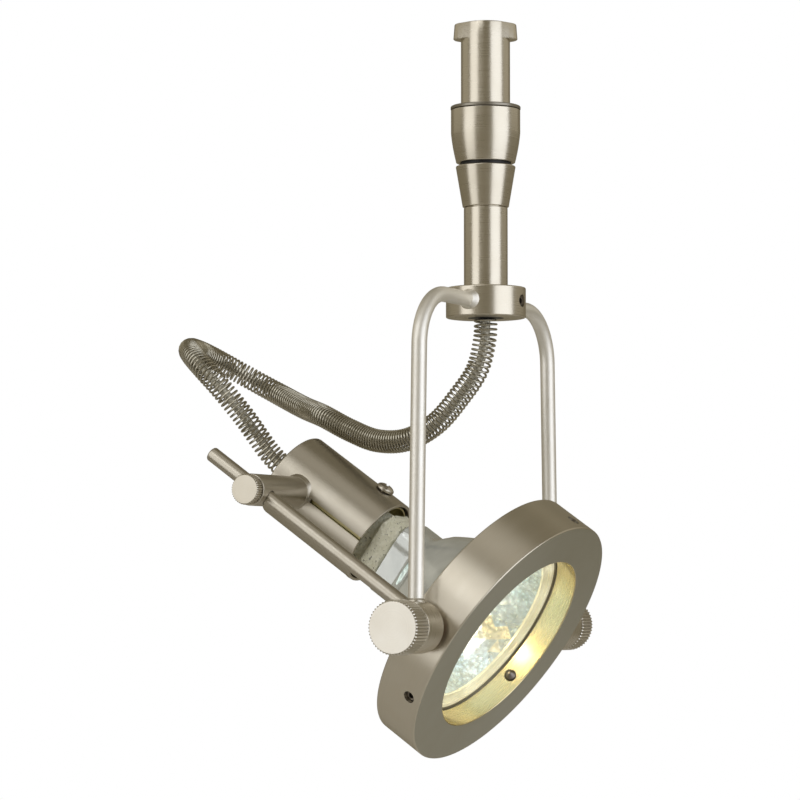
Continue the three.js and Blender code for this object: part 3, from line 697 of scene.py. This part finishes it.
# The reflector's glow is painted light: the filament's reflection painted on as emission, golden on some
# facets and strongest as a painted hotspot.
MIRROR = mirror_material("lamp_mirror", (0.70, 0.88, 0.84), (0.90, 0.96, 0.88), 0.38, 0.8)
MIRROR_GOLD = mirror_material("lamp_mirror_gold", (1.0, 0.74, 0.30), (1.0, 0.84, 0.46), 0.75, 0.9)
MIRROR_PAINTED_HOTSPOT = mirror_material("lamp_mirror_painted_hotspot", (1.0, 0.93, 0.74), (1.0, 0.98, 0.88), 1.3, 2.2)
GLASS_BODY = glass_body_material()
CLEAR = clear_material()
FILAMENT = glow_material("lamp_filament", (1.0, 0.74, 0.42), 9.0)
BRAID = braid_material()
PORCELAIN = coated("socket_porcelain", (0.62, 0.60, 0.52), (0.74, 0.72, 0.64), 0.4, 500, 0.01)


def finish_piece(piece, body, material, nodes=()):
    """Gives a piece its body, material, CAD nodes that it stands for, and material slot."""
    piece.data.materials.clear()
    piece.data.materials.append(material)
    if body:
        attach(piece, body)
    if nodes:
        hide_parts(*nodes)
    return piece


for piece in (armour_a, armour_b):
    finish_piece(piece, None, WIRE)
for piece in (braid_a, braid_b):
    finish_piece(piece, None, BRAID)


def nickel(piece, body, *nodes, material=TURNED_NICKEL):
    return finish_piece(piece, body, material, nodes)


# ---- rail connector ----

STEM_R = 6.35
THREAD_TOP, THREAD_PITCH, THREAD_ROOT, THREAD_CREST = -24.0, 1.5, 5.52, 6.1
EAR_REACH, EAR_END_R, EAR_HEIGHT, EAR_TURN_DEG = 8.3, 3.0, 4.2, 27
HEAD_BORE_R = 4.35


def connector_stem():
    _, bottom, top = turned_size("connector_stem", ROW)
    body = lathe("stem_turned", [
        (4.5, top - 3.6), (4.5, top - 0.8), (STEM_R, top - 0.8), (STEM_R, THREAD_TOP, 0.15),
        (5.55, THREAD_TOP), (5.55, bottom, 0.1), (3.9, bottom), (3.9, bottom + 4.8), (2.6, bottom + 4.8),
        (2.6, top - 3.6),
    ])
    nickel(body, "connector", "connector_stem")
    nickel(eared_head(top), "connector")
    sides, steps = 96, int((THREAD_TOP - bottom) / THREAD_PITCH * 10)
    rings = []
    for i in range(steps + 1):
        z = THREAD_TOP + (bottom - THREAD_TOP) * i / steps
        ring = []
        for s in range(sides):
            phase = ((z / THREAD_PITCH) - s / sides) % 1.0
            r = THREAD_ROOT + (THREAD_CREST - THREAD_ROOT) * min(1.0, 2.4 * min(phase, 1 - phase))
            r = min(r, THREAD_CREST - max(0.0, 0.35 - (z - bottom)) * 1.2)
            angle = 2 * math.pi * s / sides
            ring.append((r * MM * math.cos(angle), r * MM * math.sin(angle), z * MM))
        rings.append(ring)
    thread = tube_grid("stem_thread", rings, capped=False, sharp_deg=60)
    nickel(thread, "connector")


def eared_radius(angle, scale):
    """The T head's outline: the stem's circle, drawn out to a rounded ear on each side."""
    ear_r = EAR_END_R * scale
    ear_x = EAR_REACH * scale - ear_r
    meet = math.acos((STEM_R - ear_r) / ear_x)
    c, s = abs(math.cos(angle)), abs(math.sin(angle))
    turn = math.atan2(s, c)
    if turn >= meet:
        return STEM_R
    on_ear = math.atan2(ear_r * math.sin(meet), ear_x + ear_r * math.cos(meet))
    if turn >= on_ear:
        return STEM_R / math.cos(meet - turn)
    return ear_x * c + math.sqrt(max(ear_r ** 2 - (ear_x * s) ** 2, 0))


def eared_head(top):
    """The T head: the stem's round front runs up into it, and its ears spread slightly downwards."""
    bore = 2.0  # the inset that stands for the head's bore
    angles = [2 * math.pi * k / 360 for k in range(360)]
    rows = [
        (0.97, 0.3, EAR_HEIGHT), (0.97, 0, EAR_HEIGHT), (1, 0, EAR_HEIGHT - 0.2), (0.965, 0, 0.35),
        (0.955, 0.08, 0.1), (0.95, 0.3, 0), (0.95, bore, 0), (0.95, bore, 3.0),
        (0.97, bore, EAR_HEIGHT - 0.4),
    ]
    rings = []
    for scale, inset, drop in rows:
        ring = []
        for angle in angles:
            r = HEAD_BORE_R if inset == bore else eared_radius(angle, scale) - inset
            ring.append((r * MM * math.cos(angle), r * MM * math.sin(angle), (top - drop) * MM))
        rings.append(ring)
    rings.append(rings[0])
    place = Matrix.Rotation(math.radians(EAR_TURN_DEG), 4, "Z")
    head = tube_grid("stem_head", rings, capped=False, place=place)
    work = bmesh.new()
    work.from_mesh(head.data)
    bmesh.ops.remove_doubles(work, verts=work.verts, dist=1e-7)
    work.to_mesh(head.data)
    work.free()
    return outwards(head)


connector_stem()

washer_r, washer_low, washer_top = turned_size("pressure_washer", ROW)
# The lock washer takes the half-bright nickel as painted shade.
nickel(lathe("washer_turned", [
    (STEM_R + 0.3, washer_top), (washer_r, washer_top, 0.3), (washer_r, washer_low, 0.1),
    (STEM_R + 0.3, washer_low),
]), "lock_washer", "pressure_washer", material=PAINTED_SHADE_NICKEL)

nut_r, nut_low, nut_top = turned_size("lock_nut", ROW)
flank = []
for k in range(13):
    t = k / 12
    a, b, c = Vector((nut_r, -28.5)), Vector((nut_r - 0.3, -32)), Vector((7.6, nut_low))
    p = a * (1 - t) ** 2 + b * 2 * t * (1 - t) + c * t ** 2
    flank.append((p.x, p.y) if k < 12 else (p.x, p.y, 0.2))
nickel(lathe("nut_turned", [
    (STEM_R + 0.3, nut_top), (nut_r, nut_top, 0.2), *flank, (STEM_R + 0.3, nut_low),
]), "lock_nut", "lock_nut")


# ---- swivelling stem and collar ----

gasket_r, gasket_low, gasket_top = turned_size("friction_washer", ROW)
finish_piece(lathe("gasket_turned", [
    (4.1, gasket_top), (gasket_r, gasket_top, 0.15), (gasket_r, gasket_low, 0.15), (4.1, gasket_low),
]), "yoke", NYLON, ["friction_washer"])

sleeve_r, sleeve_low, sleeve_top = turned_size("swivel_sleeve", ROW)
nickel(lathe("sleeve_turned", [
    (4.0, sleeve_top), (sleeve_r, sleeve_top, 0.25), (5.95, sleeve_low, 0.2), (5.2, sleeve_low),
    (5.2, sleeve_low + 4.9), (4.0, sleeve_low + 4.9),
]), "yoke", "swivel_sleeve")

COLLAR_R, COLLAR_LOW, COLLAR_TOP = turned_size("collar", ROW)
ARM_Z = (COLLAR_LOW + COLLAR_TOP) / 2 + 0.2
LOWER_R = 5.65
nickel(lathe("lower_stem_turned", [
    (3.4, -45.6), (5.1, -45.6), (5.1, sleeve_low - 0.25), (LOWER_R, sleeve_low - 0.25, 0.15),
    (LOWER_R, COLLAR_LOW), (4.7, COLLAR_LOW), (4.7, COLLAR_LOW + 4), (3.4, COLLAR_LOW + 4),
]), "yoke", "lower_stem")

collar = lathe("collar_turned", [
    (LOWER_R + 0.12, COLLAR_TOP), (COLLAR_R, COLLAR_TOP, 0.35), (COLLAR_R, COLLAR_LOW, 0.35),
    (LOWER_R + 0.12, COLLAR_LOW),
], segments=256)
GRUB_HOLE_R = 1.6
collar_side = Matrix.Translation((0, 0, ARM_Z * MM)) @ Matrix.Rotation(math.pi / 2, 4, "Y")
drilled(collar, drill(collar_side, GRUB_HOLE_R, 7, 12))
nickel(collar, "yoke", "collar")
finish_piece(
    socket_screw("collar_grub", 1.42, 6.0, COLLAR_R - 0.5, collar_side),
    "yoke", DARK_STEEL, ["collar_set_screw"],
)

# ---- yoke arms and barrels ----

ROD_R = 1.95
BEND_R = 14.0
ARM_TOP_Y = 38.5
FOOT_Y = 40.6
BARREL_R = 6.5
KNOB_START = 46.5


def arm_line(side):
    foot_z = PIVOT.z / MM + 4.1
    splay = math.atan2(FOOT_Y - ARM_TOP_Y, ARM_Z - BEND_R - PIVOT.z / MM)
    sweep = math.pi / 2 - splay
    centre = Vector((ARM_TOP_Y - BEND_R, ARM_Z - BEND_R))
    flat = [Vector((7.7, ARM_Z)), Vector((9.0, ARM_Z)), Vector((16.0, ARM_Z))]
    for i in range(33):
        angle = math.pi / 2 - sweep * i / 32
        flat.append(centre + Vector((math.cos(angle), math.sin(angle))) * BEND_R)
    last = flat[-1]
    foot = Vector((last.x + (last.y - foot_z) * math.tan(splay), foot_z))
    flat += [last.lerp(foot, k / 12) for k in range(1, 13)]
    return np.array([(0, side * p.x * MM, p.y * MM) for p in flat])


for tag, side, turn in (("near", -1, TO_NEAR), ("far", 1, TO_FAR)):
    arm = tube_grid(f"arm_{tag}_rod", sweep_rings(arm_line(side), ROD_R * MM, 48))
    nickel(arm, "yoke", f"yoke_arm_{tag}", material=LIT_ARM_NICKEL)
    root = Matrix.Translation((0, 0, ARM_Z * MM)) @ turn
    braze = [
        (ROD_R - 0.1, 9.2), (ROD_R + 1.15, 9.2), (ROD_R + 0.75, 10.15), (ROD_R + 0.35, 10.8),
        (ROD_R + 0.1, 11.6), (ROD_R - 0.1, 11.9),
    ]
    nickel(lathe(f"arm_{tag}_braze", braze, root, 64), "yoke", material=LIT_ARM_NICKEL)

    place = Matrix.Translation(PIVOT) @ turn
    _, inner, outer = turned_size(f"barrel_{tag}", place)
    nickel(lathe(f"barrel_{tag}_turned", [
        (2.25, inner), (BARREL_R, inner, 0.35), (BARREL_R, outer, 0.2), (2.25, outer),
    ], place), "yoke", f"barrel_{tag}")
    radius, inner, outer = turned_size(f"barrel_washer_{tag}", place)
    finish_piece(lathe(f"washer_{tag}_turned", [
        (2.3, inner), (radius, inner, 0.1), (radius, outer, 0.1), (2.3, outer),
    ], place, 96), "yoke", FIBRE, [f"barrel_washer_{tag}"])
    foot = Matrix.Translation(PIVOT) @ Matrix.Translation((0, side * FOOT_Y * MM, 0))
    nickel(lathe(f"arm_{tag}_foot_ring", [
        (ROD_R - 0.1, 5.9), (ROD_R + 0.75, 5.9), (ROD_R + 0.5, 6.7), (ROD_R + 0.12, 7.0), (ROD_R - 0.1, 7.1),
    ], foot, 64), "yoke", material=SHADED_ROD_NICKEL)

    place = HEAD @ turn
    radius, inner, outer = turned_size(f"pivot_screw_{tag}", place)
    rows = [
        (0.2, inner + 0.3, 0), (1.4, inner, 0), (1.9, inner + 0.5, 0), (1.9, KNOB_START, 0),
        (6.1, KNOB_START, 0), (radius - 0.35, KNOB_START, 0.1), (radius, KNOB_START + 0.35, 1),
        (radius, outer - 0.42, 1), (radius - 0.28, outer - 0.12, 0.5), (radius - 0.5, outer, 0),
        (radius - 0.6, outer, 0), (2.0, outer, 0), (0.2, outer, 0),
    ]
    knob = ribbed(f"knob_{tag}_knurled", rows, 50, 0.75, place)
    nickel(knob, f"pivot_screw_{tag}", f"pivot_screw_{tag}", material=LIT_KNOB_NICKEL)


# ---- gimbal ring ----

RING_R, RING_REAR, RING_FRONT = turned_size("gimbal_ring", ALONG_LAMP)
BORE_R = 25.3
GROOVE_R = BORE_R + 0.35
SET_SCREW_X = 4.6
FOCUS_Y = -31.3

ring = lathe("ring_turned", [
    (BORE_R, -1.0), (BORE_R, 1.3), (GROOVE_R, 1.3), (GROOVE_R, 1.9), (BORE_R, 1.9), (BORE_R, RING_FRONT, 0.3),
    (RING_R, RING_FRONT, 0.35), (RING_R, RING_REAR, 0.35), (23.8, RING_REAR, 0.2), (23.8, -1.0),
], ALONG_LAMP, segments=320)
rod_place = ALONG_LAMP @ Matrix.Translation((0, FOCUS_Y * MM, 0))
drilled(
    ring,
    *(drill(across(angle, SET_SCREW_X), GRUB_HOLE_R, 22, 38) for angle in (90, 210, 330)),
    drill(HEAD @ TO_NEAR, 2.2, 30, 38), drill(HEAD @ TO_FAR, 2.2, 30, 38),
    drill(rod_place, ROD_R + 0.12, RING_REAR - 1, RING_REAR + 2.2),
)
nickel(ring, "head", "gimbal_ring", material=RING_WALL)
for extra in (SHADED_RING_FACE, LAMPLIT_RING_BORE, PAINTED_SHADE_NICKEL):
    ring.data.materials.append(extra)
for face in ring.data.polygons:
    # Faces turned to the front take the darker nickel as painted shade.
    if face.normal.z > 0.9:
        face.material_index = 1
    # Bore faces in front of the groove take the golden nickel as painted lamp light.
    elif math.hypot(face.center.x, face.center.y) < (BORE_R + 0.45) * MM and face.center.z > -1.1 * MM:
        # Faces in the groove and behind it take the half-bright nickel as a painted shadow line.
        face.material_index = 2 if face.center.z > 1.95 * MM else 3
for k, angle in enumerate((90, 210, 330), 1):
    finish_piece(
        socket_screw(
            f"ring_grub_{k}", 1.45, BORE_R - 1.8, RING_R - 0.9, across(angle, SET_SCREW_X), point=True,
        ),
        "head", DARK_STEEL, [f"ring_set_screw_{k}"],
    )

_, rod_end, rod_front = turned_size("focus_rod", rod_place)
nickel(lathe("focus_rod_turned", [
    (0, rod_end), (ROD_R, rod_end, 0.5), (ROD_R, rod_front), (0, rod_front),
], rod_place, 64), "head", "focus_rod", material=SHADED_ROD_NICKEL)


# ---- lamp ----

RIM_R = 24.9
LAMP_FRONT = 1.3
NECK_FRONT = -22.0
NECK_END = -31.0


def bowl_radius(x):
    return math.sqrt(18 * (x + 30.9))


def section(half_y, half_z, power, count=96):
    """A rounded cross-section: power 2 is an ellipse, and more is squarer."""
    points = []
    for i in range(count):
        angle = 2 * math.pi * i / count
        c, s = math.cos(angle), math.sin(angle)
        points.append((
            half_y * math.copysign(abs(c) ** (2 / power), c),
            half_z * math.copysign(abs(s) ** (2 / power), s),
        ))
    return points


def loft(name, rows, place=HEAD, rough=0.0):
    """A skin over cross-sections along the lamp's axis: rows of (x, half y, half z, power)."""
    rings = []
    for x, half_y, half_z, power in rows:
        ring = []
        for y, z in section(half_y, half_z, power):
            p = Vector((x, y, z))
            if rough:
                p += Vector((0, y, z)).normalized() * rough * noise.fractal(p * 1.1, 0.7, 2.0, 5)
                p.x += rough * noise.noise(p * 0.7 + Vector((9, 4, 2)))
            ring.append(tuple(c * MM for c in p))
        rings.append(ring)
    return tube_grid(name, rings, place=place, sharp_deg=45)


def smoothstep(t):
    t = min(max(t, 0.0), 1.0)
    return t * t * (3 - 2 * t)


def bowl_rows():
    rows = [(NECK_END, 7.3, 9.7, 4.5), (NECK_END + 0.25, 7.75, 10.1, 4.6)]
    for i in range(30):
        x = NECK_END + 0.5 + (LAMP_FRONT - 2 - NECK_END - 0.5) * i / 29
        flare = smoothstep((x + 25.5) / 5.5)
        round_r = bowl_radius(max(x, -30.0))
        half_y = max(7.8 * (1 - flare) + round_r * flare, 7.8)
        half_z = max(10.2 * (1 - flare) + round_r * flare, 10.2 * (1 - flare))
        rows.append((x, half_y, half_z, 4.6 - 2.6 * flare))
    inside = [(x, half_y - 1.5, half_z - 1.5, power) for x, half_y, half_z, power in reversed(rows[2:])]
    return rows + inside


bowl = loft("lamp_bowl", bowl_rows())
finish_piece(bowl, "head", GLASS_BODY, ["lamp_reflector"])
rim_back = LAMP_FRONT - 2
rim_bowl = bowl_radius(rim_back)
finish_piece(lathe("lamp_rim", [
    (rim_bowl - 1.7, rim_back - 1.2), (rim_bowl - 1.7, LAMP_FRONT - 1), (RIM_R - 1.3, LAMP_FRONT - 1),
    (RIM_R - 1.3, LAMP_FRONT, 0.15), (RIM_R, LAMP_FRONT, 0.3), (RIM_R, rim_back, 0.3),
    (rim_bowl - 0.5, rim_back), (rim_bowl - 0.9, rim_back - 1.2),
], ALONG_LAMP, 192), "head", RIM_GLASS)


def mirror():
    """The facetted inside of the reflector, as rings of flat facets that step half a facet each."""
    count, rows = 30, 11
    front, back = LAMP_FRONT - 1.6, -24.0
    vertices, faces = [], []
    for i in range(rows + 1):
        x = back + (front - back) * (i / rows) ** 1.15
        r = max(bowl_radius(max(x, -26)) - 1.9, 5.4)
        for s in range(count):
            angle = 2 * math.pi * (s + 0.5 * (i % 2)) / count
            vertices.append((r * MM * math.cos(angle), r * MM * math.sin(angle), x * MM))
    for i in range(rows):
        for s in range(count):
            a, b = i * count + s, i * count + (s + 1) % count
            c, d = a + count, b + count
            faces += [(a, c, d), (a, d, b)] if i % 2 else [(a, c, b), (b, c, d)]
    piece = new_piece("lamp_facets", vertices, faces, ALONG_LAMP)
    piece.data.polygons.foreach_set("use_smooth", [False] * len(piece.data.polygons))
    return piece


facets = finish_piece(mirror(), "head", MIRROR)
facets.data.materials.append(MIRROR_GOLD)
facets.data.materials.append(MIRROR_PAINTED_HOTSPOT)
# The golden and the brightest facets are low in the reflector, on the photograph's side.
# Index 1 takes the painted golden glow, index 2 the painted hotspot.
for face in facets.data.polygons:
    turn = math.degrees(math.atan2(face.center.y, face.center.x))
    depth = face.center.z / MM
    if 66 < turn < 84 and -9 < depth < -1.5:
        face.material_index = 1
    elif (44 < turn < 66 and -12 < depth < -4.5) or (66 < turn < 84 and depth <= -9):
        face.material_index = 2
finish_piece(lathe("lamp_throat", [
    (5.4, -24.2), (5.4, -28.5), (0, -28.6),
], ALONG_LAMP, 64), "head", PORCELAIN)
glass_r, glass_low, glass_top = turned_size("lamp_cover_glass", ALONG_LAMP)
finish_piece(lathe("cover_glass_disc", [
    (0, glass_low), (glass_r, glass_low, 0.1), (glass_r, glass_top, 0.15), (0, glass_top),
], ALONG_LAMP, 128), "head", CLEAR, ["lamp_cover_glass"])
finish_piece(lathe("capsule_envelope", [
    (0, -28), (4.0, -28, 0.5), (4.1, -15, 1.5), (3.1, -11.6, 1.0), (1.3, -10.3, 0.5), (0, -10.0),
], ALONG_LAMP, 64), "head", CLEAR, ["lamp_capsule"])


def filament():
    """A coiled filament across the capsule."""
    t = np.linspace(0, 1, 240)
    turn = t * 2 * np.pi * 9
    coil = np.stack([0.55 * np.cos(turn), -2.4 + 4.8 * t, -16.0 + 0.55 * np.sin(turn)], 1)
    return tube_grid("capsule_filament", sweep_rings(coil * MM, 0.2 * MM, 8), place=ALONG_LAMP)


finish_piece(filament(), "head", FILAMENT)
base_front, ragged, core, base_back = NECK_END - 0.3, -36.6, -37.0, -43.2
base_rows = [(base_front, 6.9, 8.6, 4.0)]
base_rows += [(base_front - (base_front - ragged) * i / 14, 7.4, 9.1, 4.2) for i in range(1, 15)]
base_rows += [(ragged - 0.25, 6.9, 8.5, 4.0), (core, 5.9, 7.6, 3.6)]
base_rows += [(core - (core - base_back) * i / 6, 5.7, 7.4, 3.6) for i in range(1, 7)]
finish_piece(loft("lamp_cement_base", base_rows, rough=0.42), "head", CEMENT, ["lamp_base"])


# ---- lamp holder ----

_, SHELL_REAR, SHELL_FRONT = turned_size("socket_shell", ALONG_LAMP)
SHELL_R = 12.0
SHELL_BORE = 11.2
SLIT_START = -57.0
POST_X = -60.4
SCREWS = (("upper", -44.2, 90), ("lower", -41.0, 253))


shell = lathe("shell_tube", [
    (4.1, SHELL_REAR), (SHELL_R, SHELL_REAR, 0.45), (SHELL_R, SHELL_FRONT, 0.15),
    (SHELL_BORE, SHELL_FRONT, 0.15), (SHELL_BORE, SHELL_REAR + 1.6), (4.1, SHELL_REAR + 1.6),
], ALONG_LAMP, segments=256)
slit = box_cutter((SLIT_START, SHELL_FRONT + 1), (-0.5, 0.5), (9, 14), across(4, 0))
drilled(shell, slit, *(drill(across(angle, x), GRUB_HOLE_R, 10, 14) for _, x, angle in SCREWS))
nickel(shell, "lamp_holder", "socket_shell", material=SHADED_SHELL_NICKEL)

DOME_TOP, SLOT_DEPTH = 13.7, 0.75
for tag, x, angle in SCREWS:
    dome = [(0, 10.9), (1.4, 10.9), (1.4, 12.2), (2.4, 12.2, 0.15)]
    dome += [(2.4 * math.cos(a), 12.55 + 1.15 * math.sin(a)) for a in np.linspace(0.12, 1.45, 9)]
    screw = lathe(f"shell_screw_{tag}", [*dome, (0, DOME_TOP)], across(angle, x), 64)
    slot_place = across(angle, x) @ Matrix.Rotation(math.radians(25), 4, "Z")
    slot = box_cutter((-0.32, 0.32), (-3, 3), (DOME_TOP - SLOT_DEPTH, 15), slot_place)
    nickel(drilled(screw, slot), "lamp_holder", f"socket_screw_{tag}", material=SHADED_ROD_NICKEL)

post_place = HEAD @ Matrix.Translation((POST_X * MM, 0, 0)) @ TO_NEAR
POST_END = 35.6
POST_R = 4.1
post = lathe("clamp_post_turned", [
    (0, 11.22), (POST_R, 11.22), (POST_R, POST_END, 0.25), (1.7, POST_END), (1.7, POST_END - 3.2),
    (0, POST_END - 3.2),
], post_place, 128)
drilled(post, drill(rod_place, ROD_R + 0.2, POST_X - 8, POST_X + 8))
nickel(post, "lamp_holder", "clamp_post", material=SHADED_ROD_NICKEL)
root = [
    (POST_R - 0.2, 11.3), (POST_R + 0.75, 11.3), (POST_R + 0.3, 11.9), (POST_R + 0.08, 12.5),
    (POST_R - 0.2, 12.7),
]
nickel(lathe("clamp_post_root", root, post_place, 96), "lamp_holder", material=SHADED_ROD_NICKEL)

knob_r, knob_start, knob_face = turned_size("clamp_knob", post_place)
grip = POST_END + 0.3
rows = [
    (0.2, knob_start + 0.1, 0), (1.3, knob_start, 0), (1.4, grip, 0), (3.3, grip, 0),
    (knob_r - 0.3, grip, 0.2), (knob_r, grip + 0.25, 1), (knob_r, knob_face - 0.35, 1),
    (knob_r - 0.2, knob_face - 0.1, 0.5), (knob_r - 0.35, knob_face, 0), (knob_r - 0.42, knob_face, 0),
    (1.5, knob_face, 0), (0.2, knob_face, 0),
]
knob = ribbed("clamp_knob_knurled", rows, 40, 0.34, post_place)
nickel(knob, "clamp_knob", "clamp_knob", material=SHADED_CLAMP_NICKEL)

sleeve_r, sleeve_low, sleeve_top = turned_size("socket_sleeve", ALONG_LAMP)
finish_piece(lathe("sleeve_brass", [
    (sleeve_r - 0.4, sleeve_low), (sleeve_r, sleeve_low), (sleeve_r, sleeve_top, 0.08),
    (sleeve_r - 0.4, sleeve_top, 0.08),
], ALONG_LAMP, 128), "lamp_holder", BRASS, ["socket_sleeve"])

bush_r, bush_low, bush_top = turned_size("rear_bush", ALONG_LAMP)
finish_piece(lathe("rear_bush_moulded", [
    (2.2, bush_low, 0.1), (3.9, bush_low, 0.25), (3.9, bush_top - 1.2), (bush_r, bush_top - 1.2),
    (bush_r, bush_top), (2.2, bush_top),
], ALONG_LAMP, 64), "lamp_holder", NYLON, ["rear_bush"])

for name, material in (
    ("contact_insulator", NYLON), ("centre_contact", BRASS), ("swivel_spigot", STEEL),
    ("spigot_circlip", STEEL), ("upper_bush", NYLON), ("stem_cable", SILICONE),
    ("lamp_pin_upper", STEEL), ("lamp_pin_lower", STEEL),
    ("lamp_socket", PORCELAIN), ("pin_contact_upper", BRASS), ("pin_contact_lower", BRASS),
    ("socket_wire_upper", SILICONE), ("socket_wire_lower", SILICONE),
):
    kept = frame["nodes"][name]
    kept.data.materials.clear()
    kept.data.materials.append(material)


# ---- lights, surroundings and floor ----

CENTRE = Vector((0, 0, PIVOT.z / 2))


def softbox(name, azimuth_deg, elevation_deg, distance, width, height, brightness, colour):
    """A soft light at an angle from the camera's side, given by how bright its face is."""
    azimuth = CAMERA_AZIMUTH + math.radians(azimuth_deg)
    elevation = math.radians(elevation_deg)
    level = math.cos(elevation)
    towards = Vector((math.sin(azimuth) * level, -math.cos(azimuth) * level, math.sin(elevation)))
    light = bpy.data.lights.new(name, "AREA")
    light.shape = "RECTANGLE"
    light.size, light.size_y = width, height
    light.energy = brightness * math.pi * width * height
    light.color = colour
    lamp = bpy.data.objects.new(name, light)
    lamp.location = CENTRE + towards * distance
    lamp.rotation_euler = towards.to_track_quat("Z", "Y").to_euler()
    lamp.visible_camera = False
    bpy.context.scene.collection.objects.link(lamp)


softbox("softbox_right", 52, 6, 1.6, 1.75, 1.9, 1.36, (0.88, 0.92, 1.0))
softbox("softbox_left", -58, 12, 1.6, 1.15, 1.7, 1.1, (0.97, 0.98, 1.0))
softbox("softbox_high", -30, 38, 1.6, 0.7, 0.8, 1.25, (0.98, 0.99, 1.0))
softbox("softbox_top", -10, 76, 1.5, 0.9, 0.9, 0.35, (1.0, 0.98, 0.95))
softbox("softbox_behind_left", -112, 28, 1.7, 1.4, 1.3, 0.26, (1.0, 0.95, 0.82))
softbox("softbox_behind_right", 112, 28, 1.7, 1.4, 1.3, 0.28, (1.0, 0.95, 0.84))

bulb = bpy.data.lights.new("lamp_glow", "POINT")
bulb.energy = 0.008
bulb.color = (1.0, 0.72, 0.36)
bulb.shadow_soft_size = 0.002
bulb_at = bpy.data.objects.new("lamp_glow", bulb)
bulb_at.location = HEAD @ Vector((-0.0085, 0, 0))
bulb_at.parent = frame["bodies"]["head"]
bpy.context.scene.collection.objects.link(bulb_at)

world = bpy.data.worlds.new("studio")
world.use_nodes = True
tree = world.node_tree
tree.nodes.clear()
seen = node(tree, "ShaderNodeLightPath").outputs["Is Camera Ray"]
room = node(tree, "ShaderNodeBackground", {"Color": (0.205, 0.18, 0.125, 1), "Strength": 1.0})
white = node(tree, "ShaderNodeBackground", {"Color": (1, 1, 1, 1), "Strength": 1.0})
mixed = node(tree, "ShaderNodeMixShader", {0: seen, 1: room.outputs[0], 2: white.outputs[0]})
node(tree, "ShaderNodeOutputWorld", {0: mixed.outputs[0]})
bpy.context.scene.world = world
bpy.context.scene.view_settings.view_transform = "Standard"


FLOOR_R = 0.75
FLOOR_DROP = 0.25


def floor():
    work = bmesh.new()
    bmesh.ops.create_circle(work, cap_ends=True, segments=128, radius=FLOOR_R)
    mesh = bpy.data.meshes.new("floor")
    work.to_mesh(mesh)
    work.free()
    piece = bpy.data.objects.new("floor", mesh)
    piece.location = (0, 0, CAD_BOX[0].z - FLOOR_DROP)
    bpy.context.scene.collection.objects.link(piece)
    mesh.materials.append(coated("floor_paper", (0.80, 0.79, 0.77), (0.84, 0.83, 0.81), 0.9, 3, 0.5))


floor()
